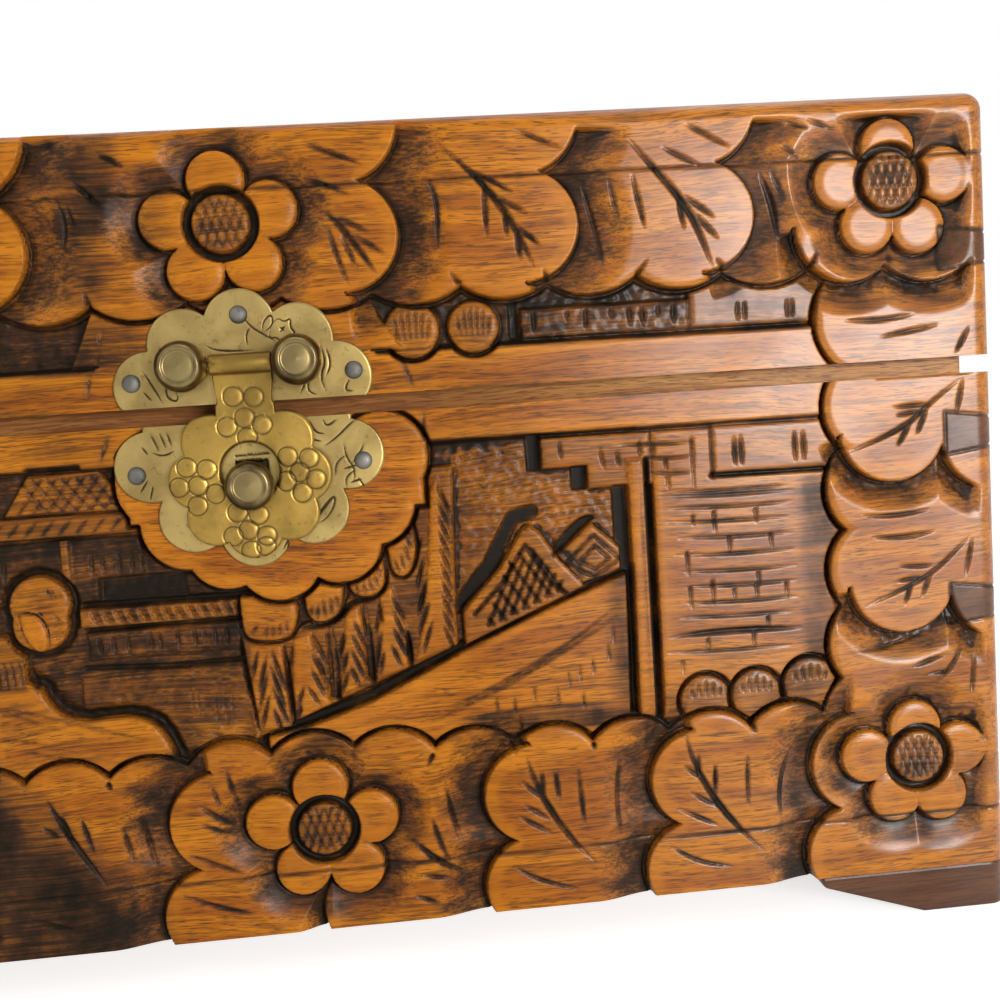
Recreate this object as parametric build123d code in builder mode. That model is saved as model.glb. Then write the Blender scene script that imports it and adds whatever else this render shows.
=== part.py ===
from build123d import *

import os
from math import ceil, cos, radians, sin, sqrt

os.makedirs("parts", exist_ok=True)

# A dovetailed wooden keepsake box with a carved outside, a lift-off line covered by an inner lip,
# a brass lock on the front and two brass butt hinges on the back. Millimetres; +Z is up, the front
# faces -Y, the feet stand on z = 0, and x = y = 0 is the middle of the whole outline, with the lock
# knobs and the hinge barrels counted in.

# ---- driving dimensions: carcass
box_width = 292.0
box_depth = 168.0
wall_thick = 10.5
base_wall_height = 87.5
lid_wall_height = 38.8
bottom_thick = 11.5
top_thick = 11.8
reveal = 3.4  # open line between base and lid
corner_radius = 4.0  # upright outer corners
top_edge_radius = 3.4
pin_root = 8.5  # dovetail pin, inner width and outer width
pin_tip = 5.0
pin_pitch = 34.0
base_pin_first = 8.0  # lowest pin's middle above the bottom board
lid_pin_first = 21.0  # lowest pin's middle above the lid's bottom edge

# ---- driving dimensions: lip
lip_inset = 4.8  # outside of the box to the outside of the lip
lip_thick = 5.0
lip_rise = 8.4  # above the base walls
lip_seat = 6.5  # depth of the rabbet below the base walls' top
lip_clearance = 0.4
lip_chamfer = 0.8
stud_cover = 1.0  # wood left between the lip and the nails, screws and post shanks

# ---- driving dimensions: bracket feet
foot_height = 9.0
foot_length = 39.0
foot_flat = 18.0
foot_tail = 2.0  # height left at the thin inner end
foot_tail_round = 1.8
foot_thick = 12.0

# ---- driving dimensions: carving
ground_depth = 3.0
pocket_depth = 2.0
back_groove = 6.0
lobe_pitch = 16.9
lobe_radius = 13.4
lid_border = 34.4  # box top to the lowest point of the scallops
base_border = 36.5  # underside of the bottom board to the highest point of the scallops
side_border = 34.0  # upright edges in to the scallops
base_rail = 7.0
lid_rail = 8.1
leaf_radius = 10.6
leaf_gap = 5.0
petal_count = 5
petal_radius = 5.3
petal_ring = 9.4
button_radius = 5.0
button_groove = 1.9
flower_margin = 0.9
flower_inset = 19.5  # box edges to the centre of a corner flower
lid_flower_drop = 17.0
base_flower_rise = 23.0
top_border = 30.0
medallion_radius = 22.0
medallion_lobe = 7.4
medallion_lobe_count = 8
spray_drop = 0.8  # sprays on the top, below its face
spray_stem = 2.6
spray_leaf_pitch = 19.5
spray_leaf_count = 4
spray_leaf_length = 22.0
spray_leaf_width = 8.4
spray_leaf_belly = 0.45  # widest place, as a share of the length
spray_leaf_lean = 40.0  # degrees from the stem

# ---- driving dimensions: the walled garden left standing in the sunken field of the front. Its
# outlines are measured from the middle of the box and from the top of the bottom board, and run
# on under the border and the lock's ground.
near_drop = 0.7  # nearer forms, below the face
far_drop = 1.3  # farther forms
garden_turn = -50.0  # left of this the garden is seen as a mirror image, with a trunk between
garden_hall = (
    (55.5, 82.0), (55.5, 74.5), (64.3, 74.5), (64.3, 70.2), (72.0, 70.2), (72.0, 22.0), (118.0, 22.0),
    (118.0, 82.0),
)
garden_wall = ((0.0, 27.0), (20.0, 32.2), (38.0, 40.5), (71.3, 53.5), (71.3, 20.0), (0.0, 20.0))
garden_bank = (
    (-60.0, 43.0), (-43.0, 41.5), (-36.5, 34.8), (-22.5, 32.7), (-15.2, 24.5), (-15.2, 18.0), (-60.0, 18.0),
)
garden_trunk = ((-54.0, 20.0), (-46.0, 20.0), (-48.0, 40.0), (-46.0, 82.0), (-52.0, 82.0), (-52.0, 40.0))
garden_gable = ((38.8, 41.0), (38.8, 49.0), (46.5, 56.0), (51.6, 64.0), (54.5, 62.5), (63.0, 50.0))
garden_eaves = ((57.6, 57.8), (64.5, 63.5), (70.0, 58.5), (70.0, 52.5), (62.0, 51.0))
garden_pines = (
    (0.3, 26.0), (0.3, 40.0), (3.2, 45.5), (6.6, 38.0), (11.0, 46.5), (15.2, 39.0), (19.0, 50.5),
    (22.4, 43.0), (26.2, 56.5), (29.9, 48.0), (32.3, 71.5), (34.5, 66.0), (36.8, 80.0), (39.2, 72.0),
    (39.2, 39.0), (20.0, 31.0),
)
garden_roof = (
    (-52.0, 68.0), (-52.0, 72.0), (-45.0, 72.4), (-40.0, 80.0), (-27.0, 80.3), (-21.5, 72.4), (-20.5, 68.0),
)
garden_bridge = ((-33.0, 50.7), (-2.6, 50.7), (-2.6, 54.2), (-33.0, 54.2))
garden_terrace = ((-50.0, 40.0), (-43.5, 40.0), (-43.5, 50.5), (-50.0, 50.5))
garden_near = (garden_hall, garden_wall, garden_bank)
garden_far = (garden_gable, garden_eaves, garden_pines, garden_roof, garden_bridge, garden_terrace)

# ---- driving dimensions: lock
lock_x = 1.2  # the lock sits a little right of the middle
plate_thick = 0.8
plate_ring = 19.2
plate_lobe = 6.6
plate_lobe_angles = (0, 33, 63, 108, 145, 180)  # from straight up, on both sides
plate_centre_rise = -1.5  # from the base's top edge to the middle of the plate
ground_margin = 8.0  # plain wood left around the plate
post_spacing = 20.8
post_rise = 7.1  # above the lid's bottom edge
post_radius = 4.6
post_neck = 2.9
post_flat = 3.2
post_reach = 8.8
post_shank_radius = 1.5
rod_radius = 1.25
rod_bite = 3.0  # how far the rod enters past a post's inner side
rod_offset = 3.4  # rod axis in front of the wood
barrel_radius = 1.95
running_fit = 0.05
part_clearance = 0.3
hasp_thick = 1.2
hasp_gap = 1.0  # hasp to lower plate
hasp_drop = 21.0  # rod axis to the middle of the hasp's lobes
hasp_ring = 9.7
hasp_lobe = 5.3
hasp_lobe_count = 8
eye_radius = 5.3
eye_rise = 1.2  # above the middle of the lobes
catch_drop = 2.5  # eye centre to knob centre when the knob is down
catch_radius = 4.5
catch_flat = 3.2
catch_reach = 7.6
stem_radius = 2.3
catch_travel = 2.4
slider_width = 9.0
slider_height = 11.0
slider_thick = 1.4
rivet_radius = 1.4
nail_head_radius = 1.7
nail_head_height = 0.9
nail_radius = 0.6
crown_nail_rise = 16.1  # above the lid's bottom edge, in line with the lock's middle
upper_nail_rise = 4.7
upper_nail_spread = 20.3  # lock's middle to the nail on each side
lower_nail_drop = 8.8  # below the base's top edge
lower_nail_spread = 20.8

# ---- driving dimensions: hinges
hinge_spacing = 170.0
hinge_width = 30.0
hinge_knuckle = 2.2
hinge_pin_radius = 1.1
hinge_stand_off = 2.5  # pin axis behind the back face
hinge_leaf_thick = 1.2
hinge_leaf_reach = 11.0
hinge_middle_share = 0.4  # middle knuckle's share of the width
pin_head_radius = 1.7
pin_head_height = 0.8
screw_radius = 1.0
screw_head_radius = 2.0
screw_spacing = 19.0
screw_drop = 7.4  # pin axis to a screw

# ---- levels and places worked out from the sizes above
floor_top = foot_height + bottom_thick
base_top = floor_top + base_wall_height
lid_bottom = base_top + reveal
lid_wall_top = lid_bottom + lid_wall_height
box_top = lid_wall_top + top_thick
hinge_level = base_top + reveal / 2
front_y = (post_reach - box_depth - hinge_stand_off - hinge_knuckle) / 2
back_y = front_y + box_depth
middle_y = (front_y + back_y) / 2
half_width = box_width / 2
half_depth = box_depth / 2

front_face = Plane(origin=(0, front_y, 0), x_dir=(1, 0, 0), z_dir=(0, -1, 0))
back_face = Plane(origin=(0, back_y, 0), x_dir=(-1, 0, 0), z_dir=(0, 1, 0))
right_face = Plane(origin=(half_width, middle_y, 0), x_dir=(0, 1, 0), z_dir=(1, 0, 0))
left_face = Plane(origin=(-half_width, middle_y, 0), x_dir=(0, -1, 0), z_dir=(-1, 0, 0))
top_face = Plane(origin=(0, middle_y, box_top), x_dir=(1, 0, 0), z_dir=(0, 0, 1))

shank_depth = lip_inset - lip_clearance - stud_cover
lobe_sag = lobe_radius - sqrt(lobe_radius**2 - (lobe_pitch / 2) ** 2)
lock_middle = base_top + plate_centre_rise
rod_level = lid_bottom + post_rise
hasp_middle = rod_level - hasp_drop
eye_level = hasp_middle + eye_rise
catch_level = eye_level - catch_drop
hasp_face = plate_thick + hasp_gap  # back of the hasp, in front of the wood
head_back = hasp_face + hasp_thick + part_clearance
hinge_axis_y = back_y + hinge_stand_off
left_hinge_x = -hinge_spacing / 2
right_hinge_x = hinge_spacing / 2
nails_upper = (
    (lock_x, lid_bottom + crown_nail_rise),
    (lock_x - upper_nail_spread, lid_bottom + upper_nail_rise),
    (lock_x + upper_nail_spread, lid_bottom + upper_nail_rise),
)
nails_lower = (
    (lock_x - lower_nail_spread, base_top - lower_nail_drop),
    (lock_x + lower_nail_spread, base_top - lower_nail_drop),
)


def save(piece, name):
    """Labels a finished sub-part and writes it as its own node."""
    piece.part.label = name
    export_step(piece.part, f"parts/{name}.step")


def row(length, pitch, count_odd):
    """Evenly spaced offsets that fill a length, centred on 0, with or without one at 0."""
    steps = max(1, ceil(length / pitch / 2))
    if count_odd:
        return [i * pitch for i in range(-steps, steps + 1)]
    return [(i + 0.5) * pitch for i in range(-steps, steps)]


def lobe_places(ring):
    """Middles of the lock plate's lobes on a ring of the given radius."""
    turns = [radians(side * angle) for angle in plate_lobe_angles for side in (1, -1)]
    return [(ring * sin(turn), ring * cos(turn)) for turn in turns]


# ---- the rounded block that every board and foot is trimmed to
with BuildPart() as envelope:
    with BuildSketch():
        with Locations((0, middle_y)):
            RectangleRounded(box_width, box_depth, corner_radius)
    extrude(amount=box_top)
    fillet(envelope.faces().sort_by(Axis.Z)[-1].edges(), radius=top_edge_radius)


# ---- carving cutters, one for each face
def flower_pockets(face, centres):
    """Ground sunk around the petals and the button of each flower."""
    with BuildSketch(face) as pockets:
        with Locations(*centres):
            Circle(petal_ring + petal_radius + flower_margin)
            with PolarLocations(petal_ring, petal_count, start_angle=90):
                Circle(petal_radius, mode=Mode.SUBTRACT)
            Circle(button_radius + button_groove)
            Circle(button_radius, mode=Mode.SUBTRACT)
    return pockets.sketch


def leaf_gaps(face, centres, heading):
    """Crescent beyond the round end of each leaf, on the side that its end faces."""
    ahead = Vector(leaf_gap, 0).rotate(Axis.Z, heading)
    with BuildSketch(face) as gaps:
        with Locations(*[(x + ahead.X, y + ahead.Y) for x, y in centres]):
            Circle(leaf_radius)
        with Locations(*centres):
            Circle(leaf_radius, mode=Mode.SUBTRACT)
    return gaps.sketch


def scalloped_field(face, low, high, half, edges, plain=False, lock=False):
    """Field between two levels, eaten into by round lobes on the edges named: low, high, side."""
    with BuildSketch(face) as field:
        with Locations((0, (low + high) / 2)):
            Rectangle(2 * half, high - low)
        along = row(2 * half, lobe_pitch, True)
        up = [(low + high) / 2 + z for z in row(high - low, lobe_pitch, False)]
        lobes = {
            "low": [(x, low + lobe_sag - lobe_radius) for x in along],
            "high": [(x, high - lobe_sag + lobe_radius) for x in along],
            "side": [(s * (half - lobe_sag + lobe_radius), z) for z in up for s in (-1, 1)],
        }
        with Locations(*[place for edge in edges for place in lobes[edge]]):
            Circle(lobe_radius, mode=Mode.SUBTRACT)
        if plain:
            inner_low = low + (back_groove if "low" in edges else 0)
            inner_high = high - (back_groove if "high" in edges else 0)
            with Locations((0, (inner_low + inner_high) / 2)):
                Rectangle(2 * (half - back_groove), inner_high - inner_low, mode=Mode.SUBTRACT)
        if lock:
            ring = plate_ring + ground_margin
            with Locations((lock_x, lock_middle)):
                Circle(ring, mode=Mode.SUBTRACT)
                with Locations(*lobe_places(ring)):
                    Circle(plate_lobe, mode=Mode.SUBTRACT)
    return field.sketch


def garden_forms(face, shapes, low, high, facing=1):
    """Outlines of the garden between two places along the front, as drawn or as a mirror image."""
    with BuildSketch(face) as forms:
        for outline in shapes:
            with BuildLine():
                Polyline(*[(facing * x, floor_top + z) for x, z in outline], close=True)
            make_face()
        with Locations(((low + high) / 2, base_top / 2)):
            Rectangle(high - low, base_top, mode=Mode.INTERSECT)
    return forms.sketch


def stand_garden():
    """Takes the garden's forms out of the front's cutter, so that the wood is left there."""
    for shapes, drop in ((garden_far, far_drop), (garden_near, near_drop)):
        level = front_face.offset(-drop)
        right = garden_forms(level, shapes, garden_turn, half_width)
        left = garden_forms(level, shapes, -half_width, garden_turn, facing=-1)
        extrude(right, amount=-ground_depth, mode=Mode.SUBTRACT)
        extrude(left, amount=-ground_depth, mode=Mode.SUBTRACT)
    trunk = garden_forms(front_face.offset(-near_drop), (garden_trunk,), -half_width, 0)
    extrude(trunk, amount=-ground_depth, mode=Mode.SUBTRACT)


def upright_carving(face, width, plain=False, lock=False):
    """The carving of one upright face: base field, lid band, leaves and flowers."""
    half = width / 2 - side_border
    corner = width / 2 - flower_inset
    base_low = foot_height + base_border - lobe_sag
    lid_high = box_top - lid_border + lobe_sag
    flower_levels = (foot_height + base_flower_rise, box_top - lid_flower_drop)
    clear = corner - 2 * lobe_pitch
    leaf_row = [x for x in row(2 * corner, 2 * lobe_pitch, False) if abs(x) < clear]
    with BuildPart() as carving:
        extrude(
            scalloped_field(face, base_low, base_top - base_rail, half, ("low", "side"), plain, lock),
            amount=-ground_depth,
        )
        if lock:
            stand_garden()
        extrude(
            scalloped_field(face, lid_bottom + lid_rail, lid_high, half, ("high",), plain, lock),
            amount=-ground_depth,
        )
        flowers = [(x, z) for x in (-corner, corner) for z in flower_levels]
        extrude(flower_pockets(face, flowers), amount=-pocket_depth)
        lid_leaves = [(x, box_top - lid_border + lobe_radius) for x in leaf_row]
        base_leaves = [(x, foot_height + base_border - lobe_radius) for x in leaf_row]
        extrude(leaf_gaps(face, lid_leaves, 0), amount=-pocket_depth)
        extrude(leaf_gaps(face, base_leaves, 180), amount=-pocket_depth)
    return carving


def top_sprays(face):
    """Two straight sprays of paired leaves, from the medallion towards the ends of the top."""
    start = medallion_radius + medallion_lobe / 2
    reach = start + (spray_leaf_count - 0.5) * spray_leaf_pitch
    belly = spray_leaf_belly * spray_leaf_length
    with BuildSketch(face) as sprays:
        for side in (0, 180):
            with Locations(Location((0, 0, 0), (0, 0, side))):
                with Locations(((start + reach) / 2, 0)):
                    Rectangle(reach - start, spray_stem)
                for i in range(spray_leaf_count):
                    foot = (start + (i + 0.5) * spray_leaf_pitch - spray_leaf_pitch / 4, 0, 0)
                    for lean in (-spray_leaf_lean, spray_leaf_lean):
                        with Locations(Location(foot, (0, 0, lean))):
                            Polygon(
                                (0, 0),
                                (belly, -spray_leaf_width / 2),
                                (spray_leaf_length, 0),
                                (belly, spray_leaf_width / 2),
                                align=None,
                            )
    return sprays.sketch


def top_carving():
    """The carving of the top board: a scalloped field, a medallion, two sprays, leaves and flowers."""
    half = half_width - top_border
    deep = half_depth - top_border
    corner_x = half_width - flower_inset
    corner_y = half_depth - flower_inset
    flowers = [(x, y) for x in (-corner_x, corner_x) for y in (-corner_y, corner_y)] + [(0, 0)]
    along = [x for x in row(2 * corner_x, 2 * lobe_pitch, False) if abs(x) < corner_x - 1.5 * lobe_pitch]
    leaf_line = deep - lobe_sag + lobe_radius
    with BuildPart() as carving:
        with BuildSketch(top_face) as field:
            add(scalloped_field(Plane.XY, -deep, deep, half, ("low", "high", "side")))
            Circle(medallion_radius, mode=Mode.SUBTRACT)
            with PolarLocations(medallion_radius, medallion_lobe_count):
                Circle(medallion_lobe, mode=Mode.SUBTRACT)
        extrude(amount=-ground_depth)
        extrude(top_sprays(top_face.offset(-spray_drop)), amount=-ground_depth, mode=Mode.SUBTRACT)
        extrude(flower_pockets(top_face, flowers), amount=-pocket_depth)
        extrude(leaf_gaps(top_face, [(x, leaf_line) for x in along], 0), amount=-pocket_depth)
        extrude(leaf_gaps(top_face, [(x, -leaf_line) for x in along], 180), amount=-pocket_depth)
    return carving


carvings = (
    upright_carving(front_face, box_width, lock=True),
    upright_carving(back_face, box_width, plain=True),
    upright_carving(left_face, box_depth),
    upright_carving(right_face, box_depth),
    top_carving(),
)


# ---- the outside of the box, as one block that the boards are cut from
with BuildPart() as outside:
    add(envelope.part)
    for carving in carvings:
        add(carving.part, mode=Mode.SUBTRACT)


# ---- dovetail pins: each side board has them at both ends, the front and back boards the sockets
def side_pins(side, levels):
    """Pins of one side board, narrower towards the outside of the box."""
    inner = side * (half_width - wall_thick)
    outer = side * half_width
    with BuildPart() as pins:
        for y in (front_y, back_y - wall_thick):
            with BuildSketch(Plane.XZ.offset(-y)):
                for level in levels:
                    with BuildLine():
                        Polyline(
                            (inner, level - pin_root / 2),
                            (outer, level - pin_tip / 2),
                            (outer, level + pin_tip / 2),
                            (inner, level + pin_root / 2),
                            close=True,
                        )
                    make_face()
            extrude(amount=-wall_thick)
    return pins


def pin_levels(first, top):
    """Middle heights of the pins that fit below a level, from the first one up."""
    count = int((top - pin_root / 2 - first) // pin_pitch) + 1
    return [first + i * pin_pitch for i in range(count)]


def block(x_low, x_high, y_low, y_high, z_low, z_high, mode=Mode.ADD):
    """A box between two corners, in the open part."""
    with Locations(((x_low + x_high) / 2, (y_low + y_high) / 2, (z_low + z_high) / 2)):
        Box(x_high - x_low, y_high - y_low, z_high - z_low, mode=mode)


# ---- hollows that several boards share
with BuildPart() as lip_recess:
    block(
        lip_inset - half_width,
        half_width - lip_inset,
        front_y + lip_inset,
        back_y - lip_inset,
        base_top - lip_seat,
        base_top,
    )

with BuildPart() as lip_housing:
    inset = lip_inset - lip_clearance
    block(
        inset - half_width,
        half_width - inset,
        front_y + inset,
        back_y - inset,
        lid_bottom,
        base_top + lip_rise,
    )

pocket_side = slider_width / 2 + part_clearance
pocket_low = catch_level - slider_height / 2 - part_clearance
pocket_high = catch_level + slider_height / 2 + catch_travel + part_clearance
with BuildPart() as catch_pocket:
    block(
        lock_x - pocket_side,
        lock_x + pocket_side,
        front_y,
        front_y + slider_thick + 2 * part_clearance,
        pocket_low,
        pocket_high,
    )


def studs(face, places, radius, length):
    """Round holes, or the shanks that fill them, going into the wood behind a face."""
    with BuildPart() as group:
        with BuildSketch(face) as ends:
            with Locations(*places):
                Circle(radius)
        extrude(ends.sketch, amount=-length)
    return group


def screw_places(x, direction):
    """Two screw places of one hinge leaf, on the back face's own axes."""
    level = hinge_level + direction * screw_drop
    return [(-x + offset, level) for offset in (-screw_spacing / 2, screw_spacing / 2)]


post_places = [(lock_x + side * post_spacing / 2, rod_level) for side in (-1, 1)]
base_screws = [place for x in (left_hinge_x, right_hinge_x) for place in screw_places(x, -1)]
lid_screws = [place for x in (left_hinge_x, right_hinge_x) for place in screw_places(x, 1)]
nail_holes_upper = studs(front_face, nails_upper, nail_radius, shank_depth)
nail_holes_lower = studs(front_face, nails_lower, nail_radius, shank_depth)
post_holes = studs(front_face, post_places, post_shank_radius, shank_depth)
screw_holes_base = studs(back_face, base_screws, screw_radius, shank_depth)
screw_holes_lid = studs(back_face, lid_screws, screw_radius, shank_depth)


# ---- boards
def trimmed(bounds, cuts=(), joined=()):
    """A board between corner values, with its pins, cut by its hollows and the outside's shape."""
    with BuildPart() as board:
        block(*bounds)
        for extra in joined:
            add(extra.part)
        for cut in cuts:
            add(cut.part, mode=Mode.SUBTRACT)
        add(outside.part, mode=Mode.INTERSECT)
    return board


base_levels = pin_levels(floor_top + base_pin_first, base_top)
lid_levels = pin_levels(lid_bottom + lid_pin_first, lid_wall_top)
base_pins = {side: side_pins(side, base_levels) for side in (-1, 1)}
lid_pins = {side: side_pins(side, lid_levels) for side in (-1, 1)}
side_names = {-1: "left", 1: "right"}
walls_y = {"front": (front_y, front_y + wall_thick), "back": (back_y - wall_thick, back_y)}

fittings = {
    "base_front": (nail_holes_lower, catch_pocket),
    "base_back": (screw_holes_base,),
    "lid_front": (nail_holes_upper, post_holes),
    "lid_back": (screw_holes_lid,),
}

for storey, pins, low, high, hollow in (
    ("base", base_pins, floor_top, base_top, lip_recess),
    ("lid", lid_pins, lid_bottom, lid_wall_top, lip_housing),
):
    for wall, (y_low, y_high) in walls_y.items():
        name = f"{storey}_{wall}"
        cuts = (hollow, pins[-1], pins[1], *fittings[name])
        save(trimmed((-half_width, half_width, y_low, y_high, low, high), cuts), f"{name}_board")
    for side, side_name in side_names.items():
        x_low, x_high = sorted((side * half_width, side * (half_width - wall_thick)))
        bounds = (x_low, x_high, front_y + wall_thick, back_y - wall_thick, low, high)
        save(trimmed(bounds, (hollow,), (pins[side],)), f"{storey}_{side_name}_board")

save(trimmed((-half_width, half_width, front_y, back_y, foot_height, floor_top)), "bottom_board")
save(trimmed((-half_width, half_width, front_y, back_y, lid_wall_top, box_top)), "lid_top_board")


# ---- lip strips: front and back run through, the sides fit between them
def lip_strip(x_low, x_high, y_low, y_high, outer_edge):
    """One strip standing in the rabbet, with its outer top edge eased."""
    with BuildPart() as strip:
        block(x_low, x_high, y_low, y_high, base_top - lip_seat, base_top + lip_rise)
        chamfer(strip.faces().sort_by(Axis.Z)[-1].edges().sort_by(outer_edge)[0], length=lip_chamfer)
    return strip


lip_half = half_width - lip_inset
lip_front = front_y + lip_inset
lip_back = back_y - lip_inset
save(lip_strip(-lip_half, lip_half, lip_front, lip_front + lip_thick, Axis.Y), "front_lip_strip")
save(lip_strip(-lip_half, lip_half, lip_back - lip_thick, lip_back, -Axis.Y), "back_lip_strip")
lip_between = (lip_front + lip_thick, lip_back - lip_thick)
save(lip_strip(-lip_half, lip_thick - lip_half, *lip_between, Axis.X), "left_lip_strip")
save(lip_strip(lip_half - lip_thick, lip_half, *lip_between, -Axis.X), "right_lip_strip")


# ---- bracket feet
def foot_leg(plane, corner, along, amount):
    """One leg of a foot: flat near the corner, then rising to a thin rounded end."""
    with BuildPart() as leg:
        with BuildSketch(plane) as profile:
            with BuildLine():
                Polyline(
                    (corner, 0),
                    (corner + along * foot_flat, 0),
                    (corner + along * foot_length, foot_height - foot_tail),
                    (corner + along * foot_length, foot_height),
                    (corner, foot_height),
                    close=True,
                )
            make_face()
            tail = profile.vertices().group_by(Axis.X)[-1 if along > 0 else 0].sort_by(Axis.Y)[0]
            fillet(tail, radius=foot_tail_round)
        extrude(amount=amount)
    return leg


foot_y = {"front": (front_y, 1), "back": (back_y, -1)}
for end, (y, inward_y) in foot_y.items():
    for side, side_name in side_names.items():
        with BuildPart() as foot:
            x = side * half_width
            add(foot_leg(Plane.XZ.offset(-y), x, -side, -inward_y * foot_thick).part)
            add(foot_leg(Plane.YZ.offset(x), y, inward_y, -side * foot_thick).part)
            add(envelope.part, mode=Mode.INTERSECT)
        save(foot, f"foot_{end}_{side_name}")


# ---- lock plates: one lobed outline, split at the reveal
def half_plate(low, high, holes):
    """The part of the lock plate between two levels, with its holes."""
    with BuildPart() as plate:
        with BuildSketch(front_face) as outline:
            with Locations((lock_x, lock_middle)):
                Circle(plate_ring)
                with Locations(*lobe_places(plate_ring)):
                    Circle(plate_lobe)
            with Locations((lock_x, (low + high) / 2)):
                Rectangle(4 * plate_ring, high - low, mode=Mode.INTERSECT)
            for places, radius in holes:
                with Locations(*places):
                    Circle(radius, mode=Mode.SUBTRACT)
        extrude(amount=plate_thick)
    return plate


def placed(piece, face, places):
    """Copies of one fitting, built upright on the ground plane, standing on a face."""
    with BuildPart() as group:
        for x, level in places:
            add(piece.part.moved(face.location * Location((x, level, 0))))
    return group


nail_crown = plate_thick + nail_head_height
dome_radius = (nail_head_radius**2 + nail_head_height**2) / (2 * nail_head_height)
half_rim = nail_head_radius / 2
dome_shoulder = nail_crown - dome_radius + sqrt(dome_radius**2 - half_rim**2)
with BuildPart() as nail:
    with BuildSketch(Plane.XZ):
        with BuildLine():
            Polyline(
                (0, -shank_depth),
                (nail_radius, -shank_depth),
                (nail_radius, plate_thick),
                (nail_head_radius, plate_thick),
            )
            ThreePointArc(
                (nail_head_radius, plate_thick),
                (half_rim, dome_shoulder),
                (0, nail_crown),
            )
            Line((0, nail_crown), (0, -shank_depth))
        make_face()
    revolve(axis=Axis.Z)

plate_span = plate_ring + plate_lobe
upper_holes = ((nails_upper, nail_radius), (post_places, post_shank_radius))
save(half_plate(lid_bottom, lock_middle + plate_span, upper_holes), "upper_lock_plate")
save(placed(nail, front_face, nails_upper), "upper_plate_nails")

slot_side = stem_radius + part_clearance
slot_low = catch_level - slot_side
slot_high = catch_level + catch_travel + slot_side
with BuildPart() as lower_plate:
    add(half_plate(lock_middle - plate_span, base_top, ((nails_lower, nail_radius),)).part)
    block(
        lock_x - slot_side,
        lock_x + slot_side,
        front_y - plate_thick,
        front_y,
        slot_low,
        slot_high,
        mode=Mode.SUBTRACT,
    )
save(lower_plate, "lower_lock_plate")
save(placed(nail, front_face, nails_lower), "lower_plate_nails")


# ---- hasp, its two posts and the rod between them
with BuildPart() as rod:
    with Locations(Location((lock_x, front_y - rod_offset, rod_level), (0, 90, 0))):
        Cylinder(rod_radius, post_spacing - 2 * post_radius + 2 * rod_bite)
save(rod, "hasp_pin")

with BuildPart() as post:
    with BuildSketch(Plane.XZ):
        with BuildLine():
            Polyline(
                (0, -shank_depth),
                (post_shank_radius, -shank_depth),
                (post_shank_radius, plate_thick),
                (post_neck, plate_thick),
            )
            Spline(
                (post_neck, plate_thick),
                (post_radius, (plate_thick + post_reach) / 2),
                (post_flat, post_reach),
                tangents=((1, 1), (0, 1), (-1, 1)),
            )
            Polyline((post_flat, post_reach), (0, post_reach), (0, -shank_depth))
        make_face()
    revolve(axis=Axis.Z)

for side_name, place in zip(("left", "right"), post_places):
    with BuildPart() as hasp_post:
        add(placed(post, front_face, (place,)).part)
        add(rod.part, mode=Mode.SUBTRACT)
    save(hasp_post, f"{side_name}_hasp_post")

barrel_length = post_spacing - 2 * post_radius - 2 * part_clearance
with BuildPart() as hasp:
    with BuildSketch(front_face.offset(hasp_face)):
        with Locations((lock_x, hasp_middle)):
            Circle(hasp_ring)
            with PolarLocations(hasp_ring, hasp_lobe_count):
                Circle(hasp_lobe)
        with Locations((lock_x, (hasp_middle + rod_level) / 2)):
            Rectangle(barrel_length, rod_level - hasp_middle)
        with Locations((lock_x, eye_level)):
            Circle(eye_radius, mode=Mode.SUBTRACT)
    extrude(amount=hasp_thick)
    with Locations(Location((lock_x, front_y - rod_offset, rod_level), (0, 90, 0))):
        Cylinder(barrel_radius, barrel_length)
        Cylinder(rod_radius + running_fit, barrel_length, mode=Mode.SUBTRACT)
save(hasp, "hasp")


# ---- catch: a knob riveted to a slide behind the lower plate
slider_face = -part_clearance
slider_back = slider_face - slider_thick
with BuildPart() as catch_shape:
    with BuildSketch(Plane.XZ):
        with BuildLine():
            Polyline(
                (0, slider_back),
                (rivet_radius, slider_back),
                (rivet_radius, slider_face),
                (stem_radius, slider_face),
                (stem_radius, head_back),
            )
            Spline(
                (stem_radius, head_back),
                (catch_radius, (head_back + catch_reach) / 2),
                (catch_flat, catch_reach),
                tangents=((1, 1), (0, 1), (-1, 1)),
            )
            Polyline((catch_flat, catch_reach), (0, catch_reach), (0, slider_back))
        make_face()
    revolve(axis=Axis.Z)
save(placed(catch_shape, front_face, ((lock_x, catch_level),)), "catch_knob")

with BuildPart() as catch_slider:
    with BuildSketch(front_face.offset(slider_back)):
        with Locations((lock_x, catch_level)):
            Rectangle(slider_width, slider_height)
            Circle(rivet_radius, mode=Mode.SUBTRACT)
    extrude(amount=slider_thick)
save(catch_slider, "catch_slider")


# ---- hinges on the back
with BuildPart() as screw:
    with BuildSketch(Plane.XZ):
        with BuildLine():
            Polyline(
                (0, -shank_depth),
                (screw_radius, -shank_depth),
                (screw_radius, hinge_leaf_thick - (screw_head_radius - screw_radius)),
                (screw_head_radius, hinge_leaf_thick),
                (0, hinge_leaf_thick),
                close=True,
            )
        make_face()
    revolve(axis=Axis.Z)
save(placed(screw, back_face, base_screws), "hinge_base_screws")
save(placed(screw, back_face, lid_screws), "hinge_lid_screws")


def knuckle(x_low, x_high, radius, mode=Mode.ADD):
    """A cylinder about the hinge axis between two places along it, in the open part."""
    with Locations(Location(((x_low + x_high) / 2, hinge_axis_y, hinge_level), (0, 90, 0))):
        Cylinder(radius, x_high - x_low, mode=mode)


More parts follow.
